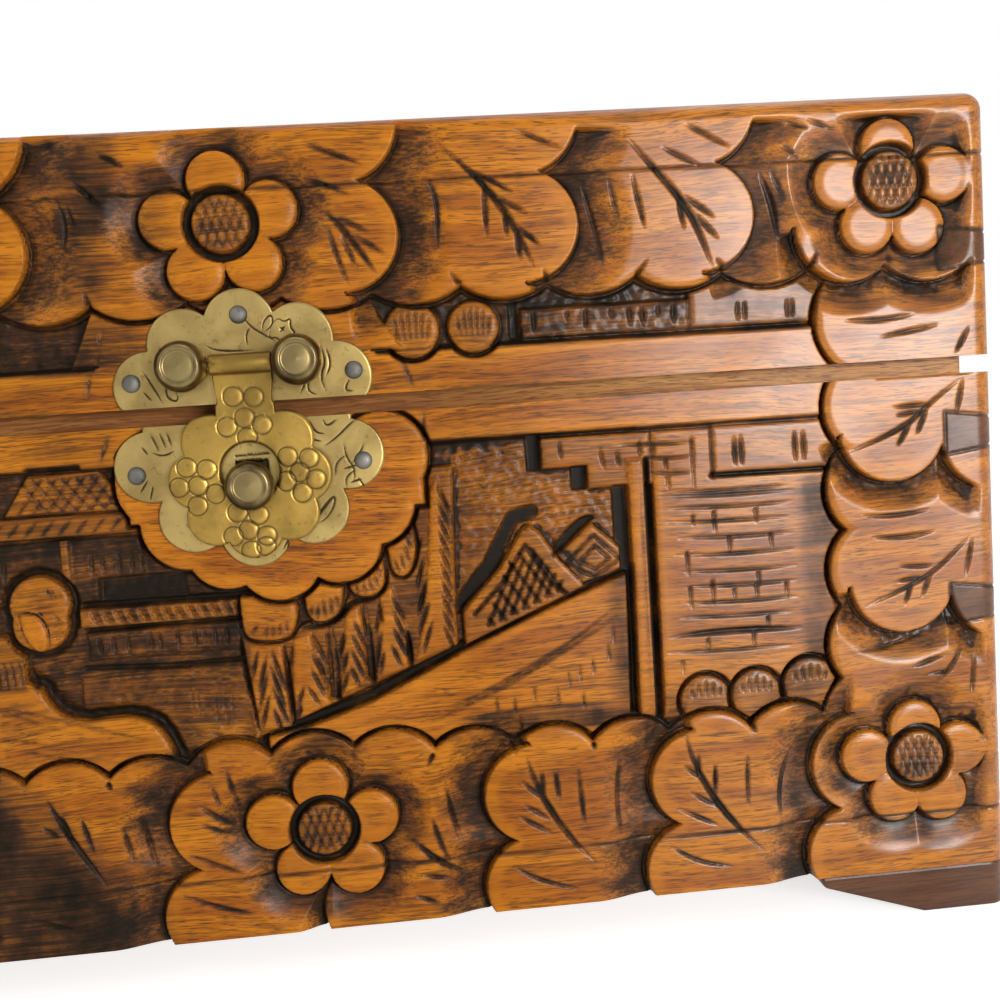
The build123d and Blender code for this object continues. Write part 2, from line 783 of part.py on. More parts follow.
def hinge_leaf(x, direction, spans):
    """A leaf reaching up or down from the axis, with a knuckle over each span of its width."""
    root = hinge_knuckle + part_clearance
    plate_y = (back_y, back_y + hinge_leaf_thick)
    half = hinge_width / 2
    with BuildPart() as leaf:
        levels = sorted((hinge_level + direction * root, hinge_level + direction * hinge_leaf_reach))
        block(x - half, x + half, *plate_y, *levels)
        for low, high in spans:
            block(x + low, x + high, *plate_y, *sorted((hinge_level, hinge_level + direction * root)))
            knuckle(x + low, x + high, hinge_knuckle)
        knuckle(x - half, x + half, hinge_pin_radius + running_fit, mode=Mode.SUBTRACT)
        add(placed(screw, back_face, screw_places(x, direction)).part, mode=Mode.SUBTRACT)
    return leaf


half_middle = hinge_width * hinge_middle_share / 2
outer_spans = (
    (-hinge_width / 2, -half_middle - part_clearance),
    (half_middle + part_clearance, hinge_width / 2),
)
for side_name, x in (("left", left_hinge_x), ("right", right_hinge_x)):
    save(hinge_leaf(x, -1, outer_spans), f"{side_name}_hinge_base_leaf")
    save(hinge_leaf(x, 1, ((-half_middle, half_middle),)), f"{side_name}_hinge_lid_leaf")
    with BuildPart() as hinge_pin:
        knuckle(x - hinge_width / 2, x + hinge_width / 2, hinge_pin_radius)
        knuckle(x - hinge_width / 2 - pin_head_height, x - hinge_width / 2, pin_head_radius)
        knuckle(x + hinge_width / 2, x + hinge_width / 2 + pin_head_height, pin_head_radius)
    save(hinge_pin, f"{side_name}_hinge_pin")
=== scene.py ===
"""Looks of the keepsake box: carved boards, lip, feet, brass lock and hinges, floor, light and camera."""

import logging
import math
from dataclasses import dataclass, field
from enum import Enum
from typing import Callable, Iterable, Sequence

import bmesh
import bpy
import numpy as np
from bmesh.types import BMEdge, BMesh, BMVert
from bpy.types import Material, Mesh, Node, NodeSocket, NodeTree, Object, World
from mathutils import Matrix, Vector


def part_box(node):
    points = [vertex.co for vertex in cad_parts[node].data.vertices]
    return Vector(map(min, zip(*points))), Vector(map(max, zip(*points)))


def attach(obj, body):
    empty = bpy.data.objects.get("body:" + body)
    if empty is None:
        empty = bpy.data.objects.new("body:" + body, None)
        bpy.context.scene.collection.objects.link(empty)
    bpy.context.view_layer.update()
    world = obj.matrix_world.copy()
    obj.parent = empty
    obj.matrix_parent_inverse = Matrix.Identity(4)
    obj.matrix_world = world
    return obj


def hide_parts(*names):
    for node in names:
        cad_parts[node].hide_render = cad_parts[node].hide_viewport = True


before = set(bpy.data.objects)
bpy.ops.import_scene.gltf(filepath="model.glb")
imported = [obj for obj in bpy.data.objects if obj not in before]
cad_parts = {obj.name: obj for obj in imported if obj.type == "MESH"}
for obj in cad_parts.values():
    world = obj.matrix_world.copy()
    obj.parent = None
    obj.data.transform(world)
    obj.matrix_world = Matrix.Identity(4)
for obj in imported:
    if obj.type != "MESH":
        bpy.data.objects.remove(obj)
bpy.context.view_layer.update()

LOG = logging.getLogger("keepsake_box")
MM = 0.001

Field = np.ndarray
Point = tuple[float, float]
Stroke = Sequence[Point]
Circle = tuple[float, float, float]
Window = tuple[float, float, float, float]
Region = tuple[tuple[slice, slice], Field, Field]
Relief = Callable[[Field, Field], tuple[Field, Field]]


def smooth(value: Field) -> Field:
    """Smooth step from 0 to 1 over the same range."""
    t = np.clip(value, 0.0, 1.0)
    return t * t * (3.0 - 2.0 * t)


def table(text: str) -> list[tuple[float, ...]]:
    """Rows of numbers from text: commas inside a row, spaces between rows."""
    return [tuple(float(number) for number in row.split(",")) for row in text.split()]


def paths(text: str) -> list[Stroke]:
    """Strokes from text: "x,z x,z" for each, parted by semicolons."""
    return [table(stroke) for stroke in text.split(";")]


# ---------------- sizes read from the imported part
@dataclass(frozen=True)
class BoxSizes:
    """Outer planes and levels of the box, in millimetres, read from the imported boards."""

    left: float
    right: float
    front: float
    back: float
    bottom_low: float
    base_low: float
    base_high: float
    lid_low: float
    lid_high: float
    top: float
    corner: float = 4.0
    edge: float = 3.4
    wall: float = 10.5
    skin: float = 4.4
    lip_inset: float = 4.8
    lip_seat: float = 6.5
    lip_rise: float = 8.4

    @property
    def middle(self) -> float:
        """Middle of the box from front to back."""
        return (self.front + self.back) / 2

    @property
    def half_width(self) -> float:
        """Half of the box's width."""
        return (self.right - self.left) / 2

    @property
    def half_depth(self) -> float:
        """Half of the box's depth without its knobs and hinges."""
        return (self.back - self.front) / 2

    @property
    def turn(self) -> float:
        """Length of a rounded upright corner, measured along the surface."""
        return self.corner * math.pi / 2

    @property
    def band_top(self) -> float:
        """Level at which the top edge begins to round over."""
        return self.top - self.edge

    @property
    def rim_end(self) -> float:
        """End of the rim, measured up the face and over the rounded edge."""
        return self.band_top + self.edge * math.pi / 2 + self.corner - self.edge


def read_sizes() -> BoxSizes:
    """Reads the box's planes and levels from the CAD nodes.

    Returns:
        The sizes in millimetres.
    """
    low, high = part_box("bottom_board")
    base, lid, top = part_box("base_front_board"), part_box("lid_front_board"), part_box("lid_top_board")
    planes = (low.x, high.x, low.y, high.y, low.z, base[0].z, base[1].z, lid[0].z, lid[1].z, top[1].z)
    return BoxSizes(*[round(value / MM, 3) for value in planes])


SIZES = read_sizes()


# ---------------- outlines on a carved face
@dataclass(frozen=True)
class Form:
    """An outline on a carved face: its signed distance, negative inside, and the window it fills."""

    distance: Callable[[Field, Field], Field]
    window: Window


def disc(x: float, z: float, radius: float) -> Form:
    """A round outline."""
    return Form(lambda u, v: np.hypot(u - x, v - z) - radius, (x - radius, x + radius, z - radius, z + radius))


def discs(text: str) -> list[Form]:
    """Round outlines from rows of x, z and radius."""
    return [disc(*row) for row in table(text)]


def around(middle: Point, ring: float, radius: float, turns: Iterable[float] = range(0, 360, 45)) -> list[Circle]:
    """Circles on a ring around a middle, by their turns from +x in degrees."""
    return [(middle[0] + ring * math.cos(math.radians(turn)), middle[1] + ring * math.sin(math.radians(turn)), radius)
            for turn in turns]


def slab(x0: float, x1: float, z0: float, z1: float) -> Form:
    """An upright rectangle between two corners."""
    return Form(lambda u, v: np.maximum(np.maximum(x0 - u, u - x1), np.maximum(z0 - v, v - z1)), (x0, x1, z0, z1))


def joined(forms: Iterable[Form]) -> Form:
    """One outline around several.

    Args:
        forms: The outlines.

    Returns:
        The outline around all of them.
    """
    parts = list(forms)
    x0, x1, z0, z1 = zip(*[part.window for part in parts])
    return Form(lambda u, v: np.minimum.reduce([part.distance(u, v) for part in parts]),
                (min(x0), max(x1), min(z0), max(z1)))


def polygon(points: Stroke | str) -> Form:
    """A closed outline through points.

    Args:
        points: Corners in order, or the text of them.

    Returns:
        The outline with its exact signed distance.
    """
    corners = table(points) if isinstance(points, str) else list(points)

    def distance(u: Field, v: Field) -> Field:
        """Signed distance to the corners' outline."""
        nearest = np.full(np.broadcast(u, v).shape, 1e9)
        odd = np.zeros(nearest.shape, bool)
        for (x0, z0), (x1, z1) in zip(corners, corners[1:] + corners[:1]):
            dx, dz = x1 - x0, z1 - z0
            t = np.clip(((u - x0) * dx + (v - z0) * dz) / (dx * dx + dz * dz + 1e-12), 0, 1)
            nearest = np.minimum(nearest, np.hypot(u - x0 - t * dx, v - z0 - t * dz))
            if z0 != z1:
                odd ^= ((z0 > v) != (z1 > v)) & (u < dx * (v - z0) / dz + x0)
        return np.where(odd, -nearest, nearest)

    xs, zs = zip(*corners)
    return Form(distance, (min(xs), max(xs), min(zs), max(zs)))


def rounded(points: Stroke | str, passes: int = 2) -> list[Point]:
    """A line smoothed by cutting its corners, with its ends kept.

    Args:
        points: The line, or the text of it.
        passes: How many times its corners are cut.

    Returns:
        The smoothed line.
    """
    line = table(points) if isinstance(points, str) else list(points)
    for _ in range(passes):
        cut = [line[0]]
        for (a0, b0), (a1, b1) in zip(line, line[1:]):
            cut += [(0.75 * a0 + 0.25 * a1, 0.75 * b0 + 0.25 * b1), (0.25 * a0 + 0.75 * a1, 0.25 * b0 + 0.75 * b1)]
        line = [*cut, line[-1]]
    return line


def blob(points: Stroke | str) -> Form:
    """A closed outline through points, with its corners cut."""
    corners = table(points) if isinstance(points, str) else list(points)
    return polygon(rounded([*corners, corners[0]])[:-1])


# ---------------- the carved surface
class Taper(Enum):
    """How a gouge stroke thins along its length."""

    TAIL = "tail"
    BOTH = "both"
    EVEN = "even"


EVEN, TAIL = Taper.EVEN, Taper.TAIL


@dataclass(frozen=True)
class Gouge:
    """A V gouge: a stroke's width and depth in millimetres, the stain left in it and how it thins."""

    width: float = 1.25
    depth: float = 0.55
    stain: float = 0.85
    taper: Taper = Taper.BOTH

    def size(self, s: Field) -> Field:
        """Share of the full size along a stroke, where s runs from 0 to 1.

        Args:
            s: Place along the stroke.

        Returns:
            The share.
        """
        if self.taper is TAIL:
            return 0.25 + 0.75 * np.clip(1 - s, 0, 1) ** 0.7 * np.clip(s / 0.06 + 0.4, 0, 1)
        if self.taper is EVEN:
            return np.ones_like(s)
        return 0.14 + 0.86 * np.clip(4 * s * (1 - s), 0, 1) ** 0.8


@dataclass
class Canvas:
    """A carved surface: depth below the board's face and dark stain over two sets of lines, in mm."""

    across: Field
    up: Field
    seed: int = 1
    depth_limit: float = 3.8
    height: Field = field(init=False)
    stain: Field = field(init=False)
    end_grain: Field = field(init=False)
    cavity: Field = field(init=False)

    def __post_init__(self) -> None:
        """Starts as a plain, unstained face."""
        shape = (len(self.up), len(self.across))
        self.height, self.stain, self.end_grain = np.zeros(shape), np.zeros(shape), np.zeros(shape)
        self.random = np.random.default_rng(self.seed)

    def window(self, window: Window, margin: float) -> Region:
        """The part of the surface around a window.

        Args:
            window: Lowest and highest x, lowest and highest z.
            margin: Room kept around it.

        Returns:
            The index of the part with its coordinates, empty off the surface.
        """
        x0, x1, z0, z1 = window
        c0, c1 = np.searchsorted(self.across, (x0 - margin, x1 + margin))
        r0, r1 = np.searchsorted(self.up, (z0 - margin, z1 + margin))
        u, v = np.meshgrid(self.across[c0:c1], self.up[r0:r1])
        return (slice(r0, r1), slice(c0, c1)), u, v

    def level(self, form: Form, level: float, stain: float, wall: float = 0.7, rounding: float = 0.25,
              shoulder: float = 1.2) -> None:
        """Brings the inside of an outline to a level, with a steep wall and a rounded shoulder.

        Args:
            form: Outline.
            level: Height of the inside, 0 at the board's face.
            stain: Stain of the inside.
            wall: Width of the wall.
            rounding: How far the shoulder drops at the outline.
            shoulder: Width of the rounded shoulder.
        """
        index, u, v = self.window(form.window, 2.0)
        d = form.distance(u, v)
        share = smooth(0.5 - d / wall)
        target = level - rounding * (1.0 - np.clip(-d / shoulder, 0, 1)) ** 2
        self.height[index] = self.height[index] * (1 - share) + target * share
        self.stain[index] = self.stain[index] * (1 - share) + stain * share

    def darken(self, index: tuple[slice, slice], stain: Field) -> None:
        """Raises the stain of a part of the surface to at least the given stain."""
        self.stain[index] = np.maximum(self.stain[index], stain)

    def shade(self, window: Window, pattern: Callable[[Field, Field], Field], raised: bool = False) -> None:
        """Darkens a window by a pattern of x and z, all over it or only where the wood is raised."""
        index, u, v = self.window(window, 0)
        stain = pattern(u, v)
        self.darken(index, stain * (self.height[index] > -1.5) if raised else stain)

    def trench(self, form: Form, depth: float, width: float, stain: float = 1.0) -> None:
        """A dark cut that follows an outline just outside it.

        Args:
            form: Outline.
            depth: Level of the cut's bottom, below the face.
            width: Width of the cut.
            stain: Stain at its bottom.
        """
        index, u, v = self.window(form.window, width + 1.0)
        d = form.distance(u, v)
        share = smooth((d + 0.2) / 0.5) * (1 - smooth((d - 0.4 * width) / (0.6 * width)))
        self.height[index] = np.minimum(self.height[index], self.height[index] * (1 - share) - depth * share)
        self.darken(index, stain * share)

    def scoop(self, form: Form, depth: float, reach: float, side: Point | None = None, stain: float = 0.66) -> None:
        """Lowers the face towards an outline from outside, as a burnished slope.

        Args:
            form: Outline that the slope leads down to.
            depth: How deep the slope is at the outline.
            reach: Width of the slope.
            side: Direction the slope lies in, or None for all round.
            stain: Stain at the outline.
        """
        index, u, v = self.window(form.window, reach + 1.0)
        d = form.distance(u, v)
        ahead = smooth(d / 0.6 + 0.6)
        if side is not None:
            x0, x1, z0, z1 = form.window
            ahead *= smooth(((u - (x0 + x1) / 2) * side[0] + (v - (z0 + z1) / 2) * side[1]) / 2.0)
        self.height[index] = np.minimum(self.height[index], -depth * (1 - smooth(d / reach)) * ahead)
        wander = 1 + 0.22 * np.sin(0.9 * v + 0.35 * u) + 0.15 * np.sin(0.43 * u - 1.7 * v)
        self.darken(index, stain * (1 - smooth((d / (reach * wander) - 0.25) / 0.85)) * ahead)

    def cut(self, stroke: Stroke, gouge: Gouge) -> None:
        """One stroke of a gouge along a line; a bent line is smoothed unless the stroke is even.

        Args:
            stroke: The line's points.
            gouge: Gouge.
        """
        points = np.array(rounded(stroke) if len(stroke) > 2 and gouge.taper is not EVEN else stroke, float)
        (x0, z0), (x1, z1) = points.min(0), points.max(0)
        index, u, v = self.window((x0, x1, z0, z1), gouge.width)
        spans = np.hypot(*np.diff(points, axis=0).T)
        total = spans.sum() + 1e-9
        run, best = 0.0, np.zeros(u.shape)
        for (ax, az), (bx, bz), span in zip(points[:-1], points[1:], spans):
            dx, dz = bx - ax, bz - az
            t = np.clip(((u - ax) * dx + (v - az) * dz) / (dx * dx + dz * dz + 1e-12), 0, 1)
            size = gouge.size((run + t * span) / total)
            d = np.hypot(u - ax - t * dx, v - az - t * dz)
            best = np.maximum(best, size * np.clip(1 - d / (0.5 * gouge.width * size + 1e-6), 0, 1))
            run += span
        self.height[index] -= gouge.depth * best
        self.darken(index, gouge.stain * np.clip(2.4 * best, 0, 1))

    def cuts(self, strokes: str | Iterable[Stroke], gouge: Gouge, at: str = "0") -> None:
        """Strokes of one gouge, repeated at each place.

        Args:
            strokes: The strokes, or the text of them.
            gouge: Gouge.
            at: Text of the places that the strokes are measured from, by x or by x and z.
        """
        for dx, *rise in table(at):
            for stroke in paths(strokes) if isinstance(strokes, str) else strokes:
                self.cut([(x + dx, z + sum(rise)) for x, z in stroke], gouge)

    def hatch(self, window: Window, pitch: float, lean: float, gouge: Gouge) -> None:
        """Parallel strokes across a window.

        Args:
            window: Lowest and highest x, lowest and highest z.
            pitch: Distance from one stroke to the next.
            lean: Run of a stroke for each unit of height.
            gouge: Gouge.
        """
        x, end, z0, z1 = window
        while x < end:
            self.cut([(x, z0), (x + lean * (z1 - z0), z1)], gouge)
            x += pitch

    def rough(self, window: Window, amount: float, size: float) -> None:
        """Uneven tool marks over a sunken ground.

        Args:
            window: Part of the surface.
            amount: Height of the marks.
            size: Distance between them.
        """
        index, u, v = self.window(window, 0.0)
        marks = np.zeros(u.shape)
        for _ in range(14):
            turn, phase = self.random.uniform(0, math.pi), self.random.uniform(0, 6.3, 2)
            wave = 6.3 / size * self.random.uniform(0.5, 1.6)
            marks += np.sin(wave * (u * math.cos(turn) + v * math.sin(turn)) + phase[0]) * np.cos(
                wave * 0.7 * (v * math.cos(turn) - u * math.sin(turn)) + phase[1])
        self.height[index] += amount * marks / 4 * smooth((-self.height[index] - 1.2) / 0.8)

    def mirror_left(self, beyond: float) -> None:
        """Repeats the right part as a mirror image to the left of a line."""
        columns = np.flatnonzero(self.across < beyond)
        for layer in (self.height, self.stain):
            layer[:, columns] = np.array([np.interp(-self.across[columns], self.across, line) for line in layer])

    def blurred(self, layer: Field, reach: int) -> Field:
        """A layer averaged over some lines each way.

        Args:
            layer: Values over the surface.
            reach: Lines each way.

        Returns:
            The averaged layer.
        """
        for axis in (0, 0, 1, 1):
            padded = np.concatenate([np.repeat(layer.take([0], axis), reach + 1, axis), layer,
                                     np.repeat(layer.take([-1], axis), reach, axis)], axis)
            total, count = np.cumsum(padded, axis), layer.shape[axis]
            ends = total.take(range(2 * reach + 1, 2 * reach + 1 + count), axis)
            layer = (ends - total.take(range(count), axis)) / (2 * reach + 1)
        return layer

    def spare_ends(self, limit: float, width: float) -> None:
        """Lets the carving run out before both ends of the face.

        Args:
            limit: Distance from the middle at which it has run out.
            width: Width over which it does.
        """
        share = smooth((limit - np.abs(self.across)) / width)
        self.height *= share
        self.stain *= 0.12 + 0.88 * share

    def finish(self) -> None:
        """Limits the depth and works out the lighter edges, from wear and partly a painted highlight, and the painted
        shade in the corners.
        """
        self.height = np.clip(self.height, -self.depth_limit, 0.0)
        # the cavity gives painted shade in hollows, and lighter raised edges that are partly a painted highlight
        near = self.blurred(self.height, 3) - self.height
        far = self.blurred(self.height, 9) - self.height
        self.cavity = np.clip(0.9 * near + 0.5 * far, -1, 1)
        self.stain = np.clip(self.blurred(self.stain, 1), 0, 1)


def lines(*stops: float, step: Sequence[float]) -> Field:
    """Grid lines through all the stops.

    Args:
        stops: Places that lie on a line.
        step: Largest spacing in each span between stops.

    Returns:
        The places of the lines.
    """
    spans = [np.linspace(a, b, max(1, math.ceil(abs(b - a) / s)) + 1)[:-1]
             for a, b, s in zip(stops, stops[1:], step)]
    return np.concatenate([*spans, [stops[-1]]])


# ---------------- motifs
@dataclass(frozen=True)
class Flower:
    """A five-petalled flower around a cross-hatched button."""

    x: float
    z: float
    petals: Stroke
    petal: float = 5.3
    button: float = 5.4
    groove: float = 1.5

    def carve(self, canvas: Canvas) -> None:
        """Cuts the flower, with the wood around it scooped away.

        Args:
            canvas: The surface.
        """
        petals = [disc(x, z, self.petal) for x, z in self.petals]
        canvas.scoop(joined(petals), 2.2, 7.0, stain=0.6)
        for petal in petals:
            canvas.trench(petal, 2.9, 0.7, stain=0.7)
        for petal in petals:
            canvas.level(petal, 0.0, 0.0, wall=0.5, rounding=0.5, shoulder=2.2)
        canvas.level(disc(self.x, self.z, self.button + self.groove), -2.6, 1.0, wall=0.6)
        canvas.level(disc(self.x, self.z, self.button), -0.2, 0.3, wall=0.5, rounding=0.45, shoulder=1.8)
        reach, lattice = self.button - 0.7, Gouge(0.62, 0.42, 0.8, EVEN)
        for lean in (1, -1):
            for offset in (-3.4, -1.7, 0.0, 1.7, 3.4):
                half = math.sqrt(max(reach**2 - offset**2, 0.5))
                x, run, rise = self.x + offset, lean * 0.36 * half, 0.95 * half
                canvas.cut([(x - run, self.z - rise), (x + run, self.z + rise)], lattice)


def regular_flower(x: float, z: float, turn: float = 90.0) -> Flower:
    """A flower whose petals stand evenly around the button."""
    angles = [math.radians(turn + 72 * i) for i in range(5)]
    return Flower(x, z, [(x + 9.2 * math.cos(a), z + 9.2 * math.sin(a)) for a in angles])


@dataclass(frozen=True)
class LeafEnd:
    """The round end of a leaf, which overlaps the next one: its lobes, the way it faces and its slope."""

    lobes: tuple[Circle, ...]
    facing: Point
    reach: float = 10.5

    def carve(self, canvas: Canvas) -> None:
        """Burnishes the next leaf down to this end and cuts a groove under its edge, stained dark as a painted
        shadow.

        Args:
            canvas: The surface.
        """
        form = joined([disc(*lobe) for lobe in self.lobes])
        x, z, _ = np.mean(self.lobes, axis=0)
        canvas.scoop(form, 2.7, self.reach, side=self.facing)

        def ahead(u: Field, v: Field) -> Field:
            """Distance to the leaf's end, kept away from the side behind it."""
            d = form.distance(u, v)
            behind = np.clip(-((u - x) * self.facing[0] + (v - z) * self.facing[1]) / 4.0, 0, 1)
            return np.where(d < -0.3, d, d + 9.0 * behind)

        # painted shadow: the groove under the leaf's edge is stained dark
        canvas.trench(Form(ahead, form.window), 3.1, 0.7, stain=0.85)


@dataclass(frozen=True)
class Pine:
    """A tall pine between two steep gouges, with long needles hanging from its trunk."""

    x0: float
    x1: float
    z0: float
    z1: float

    def carve(self, canvas: Canvas) -> None:
        """Cuts the tree's spear-shaped body and its needles.

        Args:
            canvas: The surface.
        """
        middle, width = (self.x0 + self.x1) / 2, self.x1 - self.x0
        neck = self.z1 - 1.5 * width
        body = polygon([(self.x0, self.z0), (self.x1, self.z0), (self.x1, neck), (middle + 0.18 * width, self.z1),
                        (middle - 0.18 * width, self.z1), (self.x0, neck)])
        canvas.trench(body, 3.0, 0.9)
        canvas.level(body, -0.7, 0.22, wall=0.5, rounding=0.4)
        z = self.z0 - 1.0
        while z < self.z1 - 4.0:
            reach = 0.47 * width * min(1.0, (self.z1 - z) / (1.5 * width))
            for side in (-1, 1):
                head, foot = (middle + 0.1 * side * width, z + 6.6), (middle + side * reach, max(z, self.z0))
                canvas.cut([head, foot], Gouge(1.0, 0.75, 0.7))
            z += 2.9


@dataclass(frozen=True)
class Bush:
    """A round bush with ticks in its upper half; low is where they begin, as a share of the radius."""

    x: float
    z: float
    radius: float
    low: float
    ticks: int = 5
    stain: float = 0.35

    def carve(self, canvas: Canvas) -> None:
        """Cuts the bush and its dark outline.

        Args:
            canvas: The surface.
        """
        form = disc(self.x, self.z, self.radius)
        canvas.trench(form, 3.2, 1.2)
        canvas.level(form, -0.8, self.stain, wall=0.6, rounding=0.5, shoulder=1.8)
        for i in range(self.ticks):
            share = (i + 0.5) / self.ticks * 2 - 1
            foot = (self.x + 0.62 * self.radius * share, self.z + self.low * self.radius)
            head = (self.x + 0.78 * self.radius * share, self.z + self.radius * (0.82 - 0.45 * share * share))
            canvas.cut([foot, head], Gouge(0.85, 0.5, 0.7))


def moved(strokes: Sequence[Stroke], dx: float, dz: float = 0.0) -> list[Stroke]:
    """The same strokes elsewhere."""
    return [[(x + dx, z + dz) for x, z in stroke] for stroke in strokes]


# ---------------- the front's carving
LID_VEINS = {
    31.6: paths("17,146 20,144 23.5,139 27,133.5; 15,158 26,153.5; 14,152.5 23.5,148; 20,144.5 26.5,141; 23,141 "
        "29,137; 18.5,143 20,137 21.8,131.5; 21,141 23.5,134.5"),
    65.5: paths("40,156.5 45,152 49,147.5 53,141.5 56.5,133; 45,152 53.5,147; 50,146.5 56,143; 53.5,141 58,137; "
        "48,149.5 48,139; 51.5,144 51.8,139; 53.5,140 54,134.5; 37.3,151 39.3,146 38.5,137; 52,159.5 63.5,154.5"),
    99.4: paths("75.5,156 80,150.5 85,144.5 88,139 90.5,131.5; 82,154 89.5,150; 85.5,145 91.5,140.5; 87.5,141.5 "
        "92,136.5; 84.5,145 85.5,138.5; 76,149.5 78,139; 71.5,149 73.3,140.5; 66.5,149 69,139 70,131.5; 86,158.5 "
        "95,153.5"),
    133.0: paths("101,149 103.4,143 104,135.5; 103,149 105.8,143; 105,153.5 109,150.5; 106,158 110.5,156; 110,158 "
        "116,155.5"),
    -2.0: paths("-26.5,153 -21.5,148; -30,151 -28.2,146 -29.5,140; -28,149 -26.5,144; -22,158 -17,155"),
}
BASE_VEINS = {
    40.3: paths("49,39.5 50.5,34 53,28.5 57,22 61.5,17; 47.5,35 51.5,31; 48,30 53,26.5; 46.5,28 53.5,23.5; 51.8,36.5 "
        "52,31; 54.5,36.5 55,30; 59,36.5 59.7,24.5; 67.5,38 66.3,29 66.8,21.5; 45,18 50,14.5 58,12"),
    73.3: paths("80.5,41.5 82,35 86,27 91,20.5 95.5,15.8; 80,35 83,32; 81,29.5 86,26; 78,26.5 86.5,22; 83,37 83,32; "
        "86.3,35 86,28; 92.8,36 92.5,25; 102,36 99,29 99,21.5; 76,19 82,15 89,13.5"),
    5.0: paths("25,25.8 31,20 36.5,16.8; 30,29 31.5,23 33,20; 33,35 34,29 35.3,24; 27,18 33,16.5; 25.5,14 30.5,11.8"),
    -20.0: paths("-14.2,35.8 -6.5,30; -14.5,32.3 -6.5,28.5; -8.5,43 -6,31; -11.7,40 -9.5,34; -17,26.5 -6,21.2; "
        "-18.5,18.5 -12,15.5 -5,13.5"),
    -53.0: paths("-42,40 -38,31 -32,21.5; -39.5,36.5 -38,31; -36,36 -34,28; -28.5,33 -27,26; -25,34 -23,24; "
        "-43.5,34.5 -40,32; -48,17 -37,13"),
}
SIDE_VEINS = paths(
    "139,107 133,103 127,98 115.5,94; 133,102.5 125,102.3; 131,101.3 125.5,100.6; 132,102 129.6,96.5; 128.4,99 "
    "125.6,94.5; 139.3,107 137.8,100; 140,76 132,69 125,66 118,63.5; 132,70.5 125,71; 130,68.5 124.5,68; 131.5,69 "
    "129.6,64.5; 127.5,67 126,63.2; 140.3,75.5 138.7,68; 118,81.5 125,81 132,81.8; 120,77 127,76.6 133,77.5; "
    "116,54.5 124,54.8 130,56.8; 127,50.5 134,52.5; 131,46.5 135,49.5 138,55; 129,48.6 135.5,49.3; 140,52 139.2,44; "
    "116,119.6 123,119.2 130,120; 123,116 130,117 135,117.8; 141,117 138,112")
PATCHES = table("-25.5,147,9,18,0.7 -14.5,147,6,9,0.34 -27,123,15,7,0.5 -38,112,24,7,0.26 -17,135,9,8,0.2 "
                "-21,102,12,9,0.2 40,113,30,6,0.22 41,104,24,5,0.2 17,148,8,9,0.22 -36,103,16,4,0.24 "
                "-40,55,14,8,0.16")
TOP_FLOWER = Flower(-0.8, 144.3, table("-1.2,152.2 8,146.5 -10.3,145.3 -6,135.8 4.5,137"))
CORNER_FLOWER = Flower(126.3, 145.8, table("126,152.2 116.5,146 137,146.5 121.5,137.5 131.5,137"), button=5.6)
LOW_FLOWER = Flower(9.3, 28.7, table("9,37 -0.3,30.8 18.3,30.3 4.8,21.3 15,20.6"), button=5.2)
LOW_CORNER_FLOWER = Flower(128, 32, table("127.5,38.2 117.5,33 136.5,33 123,24.5 132.5,24"), button=5.3)


